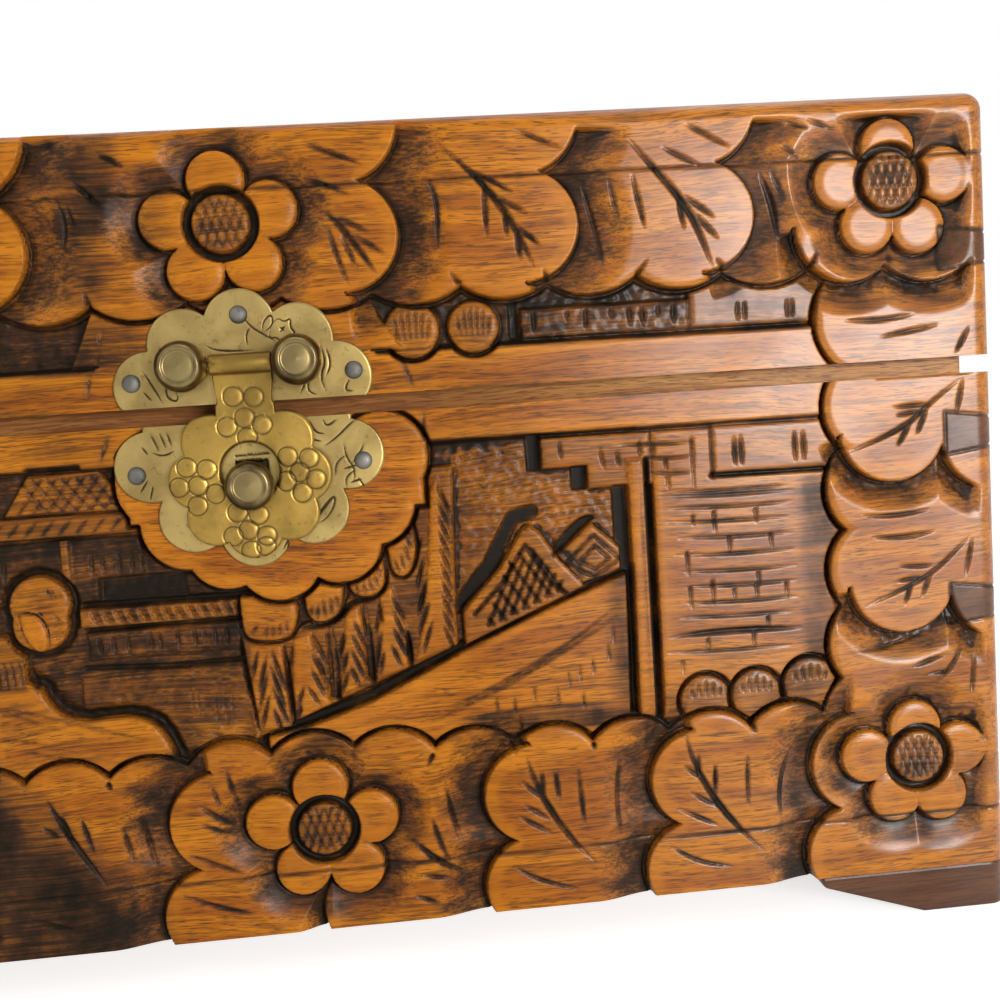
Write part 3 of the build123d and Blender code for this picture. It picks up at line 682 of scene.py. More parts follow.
@dataclass
class FrontCarving:
    """The carved front: leaf border with flowers around a walled garden, and the plain ground of the lock."""

    canvas: Canvas
    ground: float = -3.0

    def carve(self) -> None:
        """Carves the whole front."""
        self.sink_grounds()
        self.garden_wall()
        self.hall()
        self.gable()
        self.waterside()
        self.trees()
        self.lid_band()
        self.lock_ground()
        self.borders()
        self.canvas.rough((-150, 150, 38, 130), 0.16, 3.0)
        self.canvas.mirror_left(-52.5)
        self.painted_shadow_and_patches()
        self.trunk()
        self.canvas.spare_ends(142.5, 3.0)
        self.plain_edge()
        board_joints(self.canvas)
        dovetails(self.canvas, SIZES.half_width)
        self.canvas.finish()

    def sink_grounds(self) -> None:
        """Sinks the field of the base and the band of the lid."""
        c = self.canvas
        c.level(slab(-118, 118, 36, 101), self.ground, 0.72, wall=0.8)
        c.level(slab(34, 73, 60, 101), self.ground, 0.4, wall=3.0, rounding=0)
        c.level(slab(25, 118, 119.5, 134), self.ground, 0.8)
        c.level(slab(-118, -25, 119.5, 134), self.ground, 0.8)
        c.cuts("-112,101.4 112,101.4", Gouge(1.3, 1.2, 1.0, EVEN))
        c.cuts("26,119.2 112,119.2; -112,119.2 -26,119.2", Gouge(1.2, 1.0, 1.0, EVEN))

    def garden_wall(self) -> None:
        """The slanting wall that rises to the post, with its shadow line and scratches."""
        c = self.canvas
        edge = table("0,47.5 8,49 20,52.7 38,61 55,68 71.3,74")
        c.level(polygon([*edge, (71.3, 45.5), (60, 42), (0, 42)]), -0.7, 0.06, wall=0.6)
        c.cuts([edge], Gouge(2.2, 1.6, 1.0, EVEN), at="0,0.9")
        for dz in (-0.5, 0.5):
            line = [(29, 47.5 + dz), (40, 51.5 + dz), (50, 56 + dz), (60, 61 + dz), (70, 67.5 + 2 * dz)]
            c.cut(line, Gouge(0.8, 0.45, 0.8))
        c.cuts("0,2 0.2,-2", Gouge(0.7, 0.4, 0.75),
               at="44,50 47.5,49.5 51.5,51.5 56,50.5 58.3,54 60.5,55 61,49.5 63.2,56 66.4,58.5 67.5,62")
        c.cuts("34,47.4 46,48.6 58,48.8 70,48.6", Gouge(1.0, 0.35, 0.7))
        c.shade((30, 71, 44, 50), lambda u, v: 0.65 * smooth((49.5 - v) / 3.0) * smooth((u - 34) / 8), raised=True)
        c.shade((64, 71, 45, 74), lambda u, v: 0.55 * smooth((u - 64.5) / 5), raised=True)

    def hall(self) -> None:
        """The brick hall at the right: post, lintel, dark openings, bricks and balcony."""
        c = self.canvas
        c.level(slab(77, 118, 44, 101), -0.8, 0.12, wall=0.6)
        c.level(polygon("55.5,101 55.5,95 64.3,95 64.3,90.6 72,90.6 77,90.6 77,101"), -0.9, 0.3, wall=0.6)
        c.level(slab(72, 75.4, 44, 96), -0.4, 0.05, wall=0.6, rounding=0.4)
        c.cuts("75.9,45 75.9,95.3", Gouge(1.5, 2.0, 1.0, EVEN))
        c.cuts("74.4,46 74.3,70 74.6,95", Gouge(0.6, 0.35, 0.7))
        for hole in (slab(53, 55.5, 94.7, 101.7), slab(61.5, 64.3, 90.5, 95), slab(69.3, 72, 74, 90.8)):
            c.level(hole, -4.2, 1.0, wall=0.5, rounding=0)
        c.cuts("71.6,75 71.4,60 71,46.5", Gouge(2.0, 3.0, 1.0, EVEN))
        c.cuts("59.2,100 59.6,96.6; 67,98.4 67.8,94.2; 70.3,97.6 70.7,94.5; 77.5,99 77.4,95.6; 74.8,99.4 74.8,96",
               Gouge(0.9, 0.6))
        for z, x0, x1 in table("98.3,70,85 95.5,75,85 92.5,76.5,85 88.5,77,105 87.6,78,105 85.3,79,105 82.5,79,104 "
                               "79.3,81,105 76,80.5,104.6 72.7,81,105 69.7,81.5,105 66.5,81,105 63.7,80.5,104.5 "
                               "57,77,104.5"):
            c.cut([(x0, z + 0.5), ((x0 + x1) / 2, z - 0.1), (x1, z)], Gouge(0.85, 0.55, 1.0))
        c.cuts("78.5,60.4 90,60.9 105.5,60.2", Gouge(1.7, 0.8, 0.95))
        for x, z0, z1 in table("84.5,82,84 88.7,80,84.5 97,81.5,84.5 91.5,76,79.5 99.8,76.5,79.5 83,72,77 97,69,72 "
                               "83.3,65.5,70 87.8,66,71 92,67,69 96.5,66.5,69.5 102.5,66.5,69.5 98.5,61,63 "
                               "86.3,57,59.5 95.5,57,60 81,53,55.5 85,89,99 80,89.4,92 79.7,92.8,95.2"):
            c.cut([(x, z1), (x + 0.1, z0)], Gouge(1.0, 0.65, 0.85, TAIL))
        c.level(slab(88.7, 113, 91.6, 101), -0.6, 0.2, wall=0.5)
        c.cuts("88.6,91.5 113,91.3", Gouge(1.3, 1.2, 1.0, EVEN))
        c.cuts("88.9,91 88.8,101", Gouge(0.8, 0.6, 0.85, EVEN))
        c.cuts("0,99 0.1,93", Gouge(1.1, 0.7), at="93.3 94.6 105.3 107")
        c.shade((100, 118, 46, 90), lambda u, v: 0.5 * smooth((u - 103.5) / 4), raised=True)
        for x, z, r in table("85.4,47.2,5 95.6,47.4,5 106.6,48.6,5.4"):
            Bush(x, z, r, 0.15, stain=0.4).carve(c)

    def gable(self) -> None:
        """The latticed gable, the small roof beside it and their black shadows."""
        c, lattice = self.canvas, Gouge(0.8, 0.8, 1.0, EVEN)
        gable = polygon("38.8,62 38.8,69.4 46.5,76.5 51,83.5 52.5,84.5 54.5,83 58,77.5 62,73 63,71.4")
        roofs = joined((gable, polygon("57.6,78.3 64.5,84 70,79 70,74.2 62.4,72.4")))
        c.level(Form(lambda u, v: np.maximum(roofs.distance(u, v), 61.7 + 0.405 * (u - 38) - v), (38, 70, 61, 85)),
                -1.1, 0.3, wall=0.5)
        c.cuts("37.8,69.5 44.5,77 49.6,86 53.2,86.8", Gouge(3.4, 2.4, 1.0, EVEN))
        c.cuts("56.6,78 63,84.6 66,85", Gouge(2.4, 2.0, 1.0))
        c.cuts("41,68 47,74 51.5,80.7 56,73 59,70.6", Gouge(1.1, 0.9, 0.9, EVEN))
        for i in range(7):
            x, z = 43.5 + 2.3 * i, 65.6 + 0.95 * i
            rise, back = min(12.5, 2.6 * (6.8 - i)), min(11.5, 2.3 * (i + 0.8))
            c.cut([(x, z), (x + 0.42 * rise, z + rise * 0.9)], lattice)
            c.cut([(x + 1.0, z), (x + 1.0 - 0.5 * back, z + back * 0.75)], lattice)
        for s in (1.0, 0.55):
            diamond = table("-6,-0.6 -0.4,4.6 4.6,-0.4 -0.6,-3.6 -6,-0.6")
            c.cut([(65.2 + s * dx, 77 + s * dz) for dx, dz in diamond], Gouge(0.8, 0.6, 0.85, EVEN))
        c.cuts("55.5,83.5 62.2,73.6; 57,82 63.5,73.4", Gouge(0.8, 0.4))

    def waterside(self) -> None:
        """The left part: roofs, covered bridge, round tree, still water and the bank."""
        c = self.canvas
        c.level(polygon("-40,100.5 -27,100.8 -21.5,93 -45,93"), -1.3, 0.4, wall=0.6)
        for x, lean in ((-42, 0.75), (-37, -0.75)):
            c.hatch((x, x + 16.5, 93.5, 99.6), 2.6, lean, Gouge(0.62, 0.45, 0.85, EVEN))
        c.level(slab(-52, -20.5, 88.6, 92.6), -1.1, 0.4, wall=0.6)
        c.hatch((-51, -22, 88.8, 92.2), 3.1, 0.9, Gouge(0.8, 0.45))
        c.level(slab(-52, -20.5, 76, 88), -2.2, 0.75)
        c.level(slab(-35.4, -33.7, 76, 88), -1.2, 0.4, wall=0.5)
        c.cuts("0,85.5 0,80.5", Gouge(1.1, 0.7), at="-49 -46 -30 -28 -25 -22.6")
        c.level(slab(-29, -13, 76.2, 80.4), -3.4, 0.95)
        c.level(slab(-33, -2.6, 71.2, 74.7), -1.3, 0.35, wall=0.5)
        c.hatch((-29.6, -2.4, 71.4, 74.6), 2.2, -0.42, Gouge(1.3, 0.8, 0.25))
        c.hatch((-28.7, -2.4, 71.4, 74.6), 2.2, -0.42, Gouge(0.55, 0.4, 1.0))
        c.cuts("-32,75.4 -2,75.2", Gouge(1.4, 1.6, 1.0, EVEN))
        c.cuts("-32,70.6 -2,70.8", Gouge(1.2, 1.2, 1.0, EVEN))
        c.level(slab(-32, -2.4, 64.8, 70.2), -2.3, 0.7)
        c.cuts("0,69.6 0.3,65.6", Gouge(1.1, 0.8), at="-30 -27.5 -24.8 -20.6 -19 -15.6 -12.4 -8.6 -6.4")
        c.cuts("-10.6,69.8 -10.4,66; -7.6,69.6 -7.4,66", Gouge(0.8, 0.5, 0.2))
        c.cuts("-33,63.4 -18,62.6 -2,62.8", Gouge(1.1, 1.0, 1.0, EVEN))
        c.level(slab(-34, -1.2, 46, 61.8), -2.2, 0.58, wall=1.0)
        c.cuts("0,3 0.4,-3", Gouge(0.7, 0.35, 0.35), at="-14,56 -12.8,55 -9.6,54 -8,53.4 -6.6,54")
        c.cuts("-0.9,76 -0.7,60 -0.8,47", Gouge(1.8, 1.5, 1.0, EVEN))
        bank = blob("-60,38 -60,63.5 -46,62.5 -41.4,61.4 -39.9,58 -37.5,55.1 -33.3,53.5 -28.8,54.1 -23.7,53.7 "
                    "-20.5,51.9 -18.4,48.6 -17,44 -17,38")
        c.trench(bank, 3.6, 2.6)
        c.level(bank, -0.3, 0.1, wall=0.8, rounding=0.6, shoulder=2.0)
        c.cuts("-58,60 -44,56.5 -30,51.6 -19,48.4; -58,52 -46,51.6 -34,47.4; -50,57.6 -40,53.4; -46,49.5 -38,46.8 "
               "-30,46.4", Gouge(0.8, 0.35, 0.6))
        c.level(slab(-60, -43.5, 60.5, 71), -1.0, 0.35, wall=1.0)
        c.hatch((-59, -43.8, 60.5, 66.5), 1.35, -0.1, Gouge(0.75, 0.55))
        c.cuts("-43.1,64.8 -42.5,61; -42.6,63.4 -41.4,59.2", Gouge(0.75, 0.55))
        round_tree = joined([disc(-39.9, 76.2, 5.6), disc(-40.1, 72.6, 5.2)])
        c.trench(round_tree, 3.7, 1.9)
        c.level(round_tree, -0.75, 0.22, wall=0.7, rounding=0.6, shoulder=2.4)
        leaf = blob("-43.6,74.9 -41,74.9 -38.9,72.6 -38.8,68 -41,67.3 -43.2,70.6")
        c.trench(leaf, 1.5, 0.45, stain=0.8)
        c.level(leaf, -0.35, 0.0, wall=0.5, rounding=0.4)
        c.cuts("-38.3,79.4 -37.5,77.4; -37.4,79 -36.5,76.9; -36.5,78.5 -35.5,77.1; -40.3,75.3 -39.1,74; "
               "-37.6,74.6 -36.2,72.8; -38,72.2 -35.1,72.3; -38.1,71.1 -35.2,71; -38.2,70.1 -35.5,69.9",
               Gouge(0.8, 0.5, 0.5))

    def trees(self) -> None:
        """Pines and bushes between the water and the gable."""
        c = self.canvas
        c.level(polygon("-2.6,47 -3.4,67 7,68 16,72 24,80 29,88 33,97 38.6,97 37.2,62"), -1.5, 0.5, wall=0.6)
        for body in paths("-1.6,49 -2.4,58 -2.2,65.6 4,65.4 4.3,58 4.8,49; 6.1,66 9.4,67 11.4,56 12.4,53 5.6,50.2 "
                          "5.4,57; 16.6,70.8 18.9,71.6 20.2,64 19.7,57 14.4,54 15,62; 22.9,73 25.4,74.6 27.6,67 "
                          "27.6,58.8 21.6,57 22.2,66; 32.8,80 33.9,92 35.4,95 37.4,86 37.4,62.4 29.2,60 31,68"):
            c.level(polygon(body), -0.75, 0.1, wall=0.6, rounding=0.35)
        c.cuts("1.8,65 4.2,55.6; 1.4,61.6 3.9,52.4; 1.3,57.6 4.4,49; 1.4,53.2 2.8,48.4; 1,63.6 -1.3,55.4; 0.9,60.2 "
               "-1.6,52; 1,56.4 -1.2,48.6; -0.6,64.6 -2.3,58.4; 9.6,67 12.2,60.6; 9.2,63.8 12,57; 8.9,60.6 "
               "11.7,53.9; 8.1,56.9 10.5,52.6; 6,65 4.9,60.5; 7.5,56.9 6,53; 6.8,53.6 5.8,50.6; 17.6,69.2 20.3,62.2; "
               "17.1,66.4 20.2,58.8; 16.7,63.6 19.6,56.3; 16.4,60.4 18.2,55.4; 16,67 14.6,61.4; 16.3,63.4 14.9,58.4; "
               "16.1,59.2 14.6,54.8; 25.3,73 27.7,67.2; 25.2,70.4 27.6,63.9; 25,67.2 27.6,60.6; 24.6,63.6 26.4,58.7; "
               "23,70.6 21.7,65.8; 22.9,66.6 21.3,58.2; 23.2,62.4 21.9,57.4; 31.9,84 30,78.4; 32,80.2 30,72.8; "
               "32.3,75.6 30,68.4; 32.5,71.6 30,64.8; 32.8,67.6 30.4,60.8", Gouge(1.0, 0.85, 0.95))
        for i in range(10):
            head = (35.2 - 0.05 * i, 94 - 3.05 * i)
            c.cut([head, (head[0] + 2.4, head[1] - 6.6)], Gouge(1.05, 0.9, 0.9))
        for stroke, width, stain in (
            ("13,53.8 12.8,61.5 12.7,69", 2.6, 0.45), ("20.2,57 20.1,63 19.6,72", 2.4, 0.45),
            ("23,68 22.9,72.6", 1.6, 0.6), ("13.9,53.4 14.1,60 13.6,68", 1.3, 1.0),
            ("20.8,56 20.9,63 20.4,71", 1.2, 1.0),
        ):
            c.cuts(stroke, Gouge(width, 1.5, stain, TAIL))
        c.cuts("-3.9,68.6 -3.3,61 -2.4,55 -1.5,47.6; 4.3,65.5 4.7,58 5.2,48.8; 27.9,66 28.2,57.8",
               Gouge(1.3, 2.0, 1.0))
        for outline, ticks in (
            ("-3.2,75 -3.2,68.4 -1.8,66.4 3.8,65.9 6.9,67.4 8,74.5",
             "0,69.7 -1.7,67.4; 1.6,69 0.8,66.6; 2.7,69 2.2,66.6; 4,69.4 3.6,66.8; 5.2,69.7 5.1,67.2"),
            ("8.8,76 9.1,69.4 12.6,68.7 15.8,70.4 16.8,78",
             "10.2,72.4 9.7,70; 11.3,72.6 11.1,69.4; 12.3,73.4 12.6,69.6; 13.7,73.8 13.9,70; 14.8,74 15.2,71.2"),
            ("17.2,78 17.7,73.4 22.4,72.9 24.7,75.8 23.6,83",
             "18.8,75.8 19,73.4; 20,76.2 20.5,73.4; 21.1,76.8 21.8,74; 22.2,77.4 23,74.6; 22.8,79.4 23.6,76.2"),
            ("25,84 25.8,76.6 29.1,76.4 31,82 29.6,88 26,88",
             "26.4,80 26.9,77; 27.6,81 28.1,77.4; 28.4,82.6 29.3,78.6; 28.6,84.6 30.2,80.8; 28.2,86.8 30.4,83"),
        ):
            bush = blob(outline)
            c.trench(bush, 3.0, 0.9)
            c.level(bush, -0.6, 0.12, wall=0.6, rounding=0.5, shoulder=1.8)
            c.cuts(ticks, Gouge(0.85, 0.6, 0.85))
        c.cuts("6.8,66.7 8.4,68.1 12.6,68 15.9,70 17.6,72.2 22.8,72.6 25,75.6", Gouge(1.5, 1.6, 1.0))

    def lid_band(self) -> None:
        """The narrow band under the lid's border: bushes, a groove and a low wall with ticks."""
        c = self.canvas
        c.level(slab(53.5, 86, 119.8, 125.6), -1.7, 0.6)
        c.level(slab(86, 112, 119.8, 128.5), -1.3, 0.45)
        c.cuts("0,125.2 0,121", Gouge(1.3, 0.8), at="56 66 74.5 77 83")
        c.cuts("0,125 0,122.6", Gouge(1.0, 0.6), at="62.5 71 80")
        c.cuts("0,124.6 0,120.8", Gouge(0.9, 0.6), at="95.4 96.8 105.2 106.2")
        Bush(32.8, 122.8, 5.2, -0.35, ticks=6).carve(c)
        Bush(44.4, 122.8, 4.9, -0.35, ticks=6).carve(c)
        c.level(slab(51.3, 52.8, 120, 128), -3.6, 1.0, wall=0.4, rounding=0)

    def lock_ground(self) -> None:
        """The plain raised ground around the lock."""
        c = self.canvas
        ground = joined([slab(-22, 33, 90, 102), slab(-8, 20, 80, 102), *discs(
            "-14.5,97.5,9.7 -11.5,89.5,8.8 -4.5,84.5,8 4.8,82,8.3 16.2,84.5,8.3 22.8,91,8.3 25.5,99.5,8.7")])
        c.trench(ground, 3.7, 1.0)
        c.level(ground, 0.0, 0.03, wall=0.7, rounding=0.4, shoulder=1.4)
        c.level(slab(-30, 34, 101, 102.6), 0.0, 0.05, wall=0.6, rounding=0)
        c.level(polygon("-30,119.5 31,119.5 26.5,126 24.5,132 -24.5,132 -27.5,125"), 0.0, 0.1, wall=0.8, rounding=0.3)
        c.cuts("30,118.8 32.4,112; -26.4,118.8 -27.6,113; -24,107.6 -26.4,101.4; 33.8,107.6 33.6,101.6",
               Gouge(0.7, 0.35))
        c.cuts("-23.6,126.4 -24.4,123.4; -24.6,121.4 -25.6,119.8", Gouge(0.9, 0.5, 0.3))
        c.level(slab(-4.0, 6.4, 90.2, 104.6), -2.3, 0.6, wall=0.3, rounding=0)

    def borders(self) -> None:
        """The scalloped borders with their leaves, veins and flowers."""
        c = self.canvas
        upper = [disc(x, 141.0, 13.4) for x, in table(
            "-118.3 -101.4 -84.5 -67.6 -50.7 -33.8 -17 0.3 17.5 34.3 50.8 67.5 84.5 101.5")]
        lower = [disc(x, top - 10.2, 10.2) for x, top in table(
            "-53.3,46 -38,46 -22.7,45.5 -7.2,47.3 8.1,47.6 23.3,46.9 38.8,45.6 54.5,45 70.2,45 86.2,45 102,45.3")]
        sides = [disc(x + 10.2, z, 10.2) for x, z in table("111.3,103 111.3,86.8 111.3,71 110.6,56 109.8,41.8")]
        lid_border = joined([slab(-160, 160, 138, 190), *upper, *discs("118,137.6,10.8 133.6,138,11.8 149,141,12")])
        base_border = joined([slab(-160, 160, 0, 35), slab(119, 160, 9, 120), *lower, *sides,
                              *discs("116.2,28.6,10.2 114.8,12.6,10.4")])
        lid_side = joined([disc(121.6, 119.6, 11.2), slab(122, 160, 108, 140)])
        c.trench(base_border, 3.8, 1.1)
        c.trench(joined([lid_border, lid_side]), 3.7, 1.1)
        for form in (base_border, lid_side, lid_border):
            c.level(form, 0.0, 0.0, wall=0.8, rounding=0.45, shoulder=1.6)
        for x in (-69.4, -35.8, 31.6, 65.5, 99.4):
            LeafEnd(((x - 10.6, 141, 10.6), (x - 10.3, 161.6, 11.3)), (1, 0)).carve(c)
        for x, low in table("-20,-22.3 40.3,39.6 73.3,71.6 106,104.5"):
            LeafEnd(((x + 9.9, 31.7, 9.9), (low + 9.7, 13.6, 9.7)), (-1, 0)).carve(c)
        LeafEnd(((18.0, 12.4, 9.9),), (-1, 0), 6.0).carve(c)
        for x, z in ((125, 98.4), (126, 68.4)):
            LeafEnd(((x, z, 10.8), (x + 21, z - 2.2, 11.4)), (0, -1), 6.5).carve(c)
        LeafEnd(((117.5, 137.3, 10.4), (133.5, 138, 11.6)), (0, -1), 7.0).carve(c)
        for stem, *veins in (*LID_VEINS.values(), *BASE_VEINS.values()):
            c.cut(stem, Gouge(1.6, 0.9, 0.95))
            c.cuts(veins, Gouge(1.15, 0.65, 0.95))
        c.cuts(LID_VEINS[65.5], Gouge(1.3, 0.6), at="-101.4")
        c.cuts(SIDE_VEINS, Gouge(1.15, 0.65, 0.95))
        for x, z, dx, dz in table("-25.6,130.6,-0.6,2.6 42.3,130.8,-1.6,2.2 59,130.6,-0.8,2 76,130.6,2,2.6 "
                                  "93,130.8,-1.6,2 110,130.4,1.6,3 126,130.4,-0.4,2 31,41.6,-1.2,-2.4 "
                                  "15.7,43.2,0.6,-1.6 46.4,41.8,0.8,-1.6 62.4,40.8,0.2,-1 94.4,41.4,0.4,-1.2 "
                                  "-30.4,41.6,0.6,-1.4"):
            c.cut([(x, z), (x + dx, z + dz)], Gouge(1.3, 1.2, 1.0, TAIL))
        for flower in (TOP_FLOWER, CORNER_FLOWER, LOW_FLOWER, LOW_CORNER_FLOWER):
            flower.carve(c)
        c.cuts("0,160.6 0.4,164", Gouge(2.2, 0.5, 0.8), at="-31 34 69 103")

    def plain_edge(self) -> None:
        """Keeps the rounded top edge plain towards the right, and barely cut at the left."""
        c = self.canvas
        limit = 163.0 - 4.2 * smooth((c.across[None, :] - 22) / 30)
        share = smooth((limit - c.up[:, None]) / 1.6)
        c.height *= share
        c.stain *= 0.08 + 0.92 * share

    def painted_shadow_and_patches(self) -> None:
        """Painted shadow over the low left part, and darker patches around the lock."""
        # painted shadow: the low left part of the front is stained darker, most towards its lower left
        self.canvas.shade((-110, -10, 0, 70), lambda u, v: 0.77 * smooth((-14 - u) / 15) * smooth((u + 96) / 30)
                          * smooth((49 - v - 0.9 * (u + 45)) / 20))
        for x, z, wide, high, dark in PATCHES:
            def patch(u: Field, v: Field) -> Field:
                """A round patch with a wandering edge."""
                wander = 0.12 * np.sin(0.31 * u + 0.17 * v) + 0.1 * np.sin(0.53 * v - 0.23 * u)
                return dark * smooth(1.3 + wander - np.hypot((u - x) / wide, (v - z) / high))

            self.canvas.shade((x - 1.4 * wide, x + 1.4 * wide, z - 1.4 * high, z + 1.4 * high), patch)

    def trunk(self) -> None:
        """A tree trunk in the hidden left part, where the garden and its mirror image meet."""
        c = self.canvas
        trunk = polygon("-57.6,44 -50.8,44 -51.4,60 -50.8,80 -49.8,102 -56,102 -55,80 -55.6,60")
        c.trench(trunk, 3.6, 0.9)
        c.level(trunk, -0.6, 0.3, wall=0.7, rounding=0.6, shoulder=1.8)
        c.cuts("-54.4,50 -52.2,52.5", Gouge(0.9, 0.5), at="0,0 0,6 0,12 0,18 0,24 0,30 0,36 0,42")
        c.level(slab(-64, -40, 101.2, 103), 0.0, 0.05, wall=0.6, rounding=0)


def board_joints(canvas: Canvas) -> None:
    """The thin lines where the walls meet the bottom board and the top board."""
    for level in (SIZES.base_low, SIZES.lid_high):
        canvas.cut([(canvas.across[0], level), (canvas.across[-1], level)], Gouge(0.75, 0.3, 0.85, EVEN))


def dovetails(canvas: Canvas, half: float) -> None:
    """Shows the pins at both ends of a front or back board as end grain inside thin joint lines.

    Args:
        canvas: Surface that runs round both corners.
        half: Half width of the box.
    """
    for z in (*[SIZES.base_low + 8.0 + 34.0 * i for i in range(3)], SIZES.lid_low + 21.0):
        for side in (-1, 1):
            inner, outer = side * (half - SIZES.wall), side * (half - SIZES.corner + SIZES.turn)
            edge = [(inner, z - 4.25), (outer, z - 2.5), (outer, z + 2.5), (inner, z + 4.25)]
            form = polygon(edge)
            index, u, v = canvas.window(form.window, 1.0)
            seen = 0.25 if z < 40 else 1.0
            share = seen * smooth(0.5 - form.distance(u, v) / 0.4)
            canvas.end_grain[index] = np.maximum(canvas.end_grain[index], share)
            canvas.darken(index, 0.42 * share)
            canvas.cut([edge[1], edge[0], edge[3], edge[2]], Gouge(0.7, 0.3 * seen, seen, EVEN))


# ---------------- the other faces
@dataclass
class PanelCarving:
    """The carving of a plainer face: leaf border and flowers around a field."""

    canvas: Canvas
    half: float
    scene: bool = True
    ground: float = -3.0

    def carve(self) -> None:
        """Carves the face."""
        c, half = self.canvas, self.half
        inner = half - 34
        c.level(slab(-inner - 6, inner + 6, 36, 101), self.ground, 0.7, wall=0.8)
        c.level(slab(-inner - 6, inner + 6, 119.5, 134), self.ground, 0.78)
        if self.scene:
            self.garden()
        else:
            c.level(slab(-inner + 6, inner - 6, 52, 101.4), -0.2, 0.1, wall=1.2, rounding=0.4)
            c.level(slab(-inner + 6, inner - 6, 119, 124.6), -0.2, 0.1, wall=1.2, rounding=0.4)
        count = int((half - 20) // 16.9) + 1
        places = [16.9 * i for i in range(-count, count + 1)]
        sides = [disc(s * (half - 24), z, 10.2) for s in (-1, 1) for z in (103, 86.8, 70.6, 54.4, 38.2)]
        lid_border = joined([slab(-half - 20, half + 20, 138, 190), *[disc(x, 141, 13.4) for x in places]])
        base_border = joined([slab(-half - 20, half + 20, 0, 35), slab(half - 27, half + 20, 9, 120), *sides,
                              slab(-half - 20, 27 - half, 9, 120), *[disc(x, 34.8, 10.4) for x in places]])
        lid_sides = joined([disc(s * (half - 24.4), 119.6, 11.2) for s in (-1, 1)]
                           + [slab(half - 24, half + 20, 108, 140), slab(-half - 20, 24 - half, 108, 140)])
        c.trench(base_border, 3.7, 1.5)
        c.trench(joined([lid_border, lid_sides]), 3.6, 1.4)
        for form in (base_border, lid_sides, lid_border):
            c.level(form, 0.0, 0.0, wall=1.0, rounding=0.45, shoulder=1.6)
        self.leaves()
        for x in (-half + 19.5, half - 19.5):
            for z in (32.0, 145.0):
                regular_flower(x, z).carve(c)
        regular_flower(0, 145.0).carve(c)
        c.rough((-half, half, 38, 130), 0.14, 3.0)
        c.spare_ends(min(half - SIZES.corner, c.across[-1]) + 0.5, 3.0)
        board_joints(c)
        if not self.scene:
            dovetails(c, half)
        c.finish()

    def leaves(self) -> None:
        """Leaf ends and veins along both borders and up both sides."""
        c, half = self.canvas, self.half
        count = int((half - 36) // 33.8)
        for i in range(-count, count + 1):
            x = 33.8 * i + 16.0
            if x < half - 36:
                LeafEnd(((x - 10.6, 141, 10.6), (x - 10.3, 161.6, 11.3)), (1, 0)).carve(c)
                LeafEnd(((9.9 - x, 31.7, 9.9), (9.0 - x, 13.6, 9.7)), (-1, 0)).carve(c)
                if i != 0:
                    c.cuts(moved(LID_VEINS[99.4], x - 99.4), Gouge(1.5, 0.7))
                c.cuts(moved(BASE_VEINS[73.3], -x - 73.3), Gouge(1.5, 0.7))
        for s in (-1, 1):
            c.cuts([[(s * (half - 146) + s * x, z) for x, z in stroke] for stroke in SIDE_VEINS], Gouge(1.4, 0.65))
            for z in (98.4, 68.4):
                LeafEnd(((s * (half - 20), z, 10.8),), (0, -1), 6.5).carve(c)

    def garden(self) -> None:
        """A small scene: a gabled house behind a wall, with pines and bushes."""
        c = self.canvas
        c.level(polygon("-60,50 -20,58 14,58 60,66 60,40 -60,40"), -0.8, 0.1, wall=0.8)
        c.cuts("-50,-1.5 0,0 50,2", Gouge(0.9, 0.5), at="0,45 0,49.5 0,54")
        for i in range(-9, 10):
            c.cut([(5 * i, 50 + (i % 2) * 4.4), (5 * i, 46 + (i % 2) * 4.4)], Gouge(0.9, 0.5))
        house = polygon("-12,58 -12,80 -18,80 0,97 18,80 12,80 12,58")
        c.trench(house, 3.6, 1.4)
        c.level(house, -1.0, 0.25, wall=0.7)
        c.cuts("-14,81.5 0,94; 0,94 14,81.5; -13,81 13,81; -4,60 -4,72; 4,60 4,72; -4,72 4,72",
               Gouge(1.1, 0.7, 0.85, EVEN))
        c.hatch((-9, 6, 82.5, 89), 2.6, 0.4, Gouge(0.8, 0.5))
        for tree in table("-38,-31,53,84 -30,-23.5,55,92 -22.4,-16.6,57,76 20,26,60,88 27,33.6,60,96 34.4,40,62,82"):
            Pine(*tree).carve(c)
        for x in (-30.0, -19.0, -8.0, 8.0, 19.0, 30.0):
            Bush(x, 47.5, 5.2, 0.1).carve(c)
            Bush(x, 123, 4.8, -0.3).carve(c)


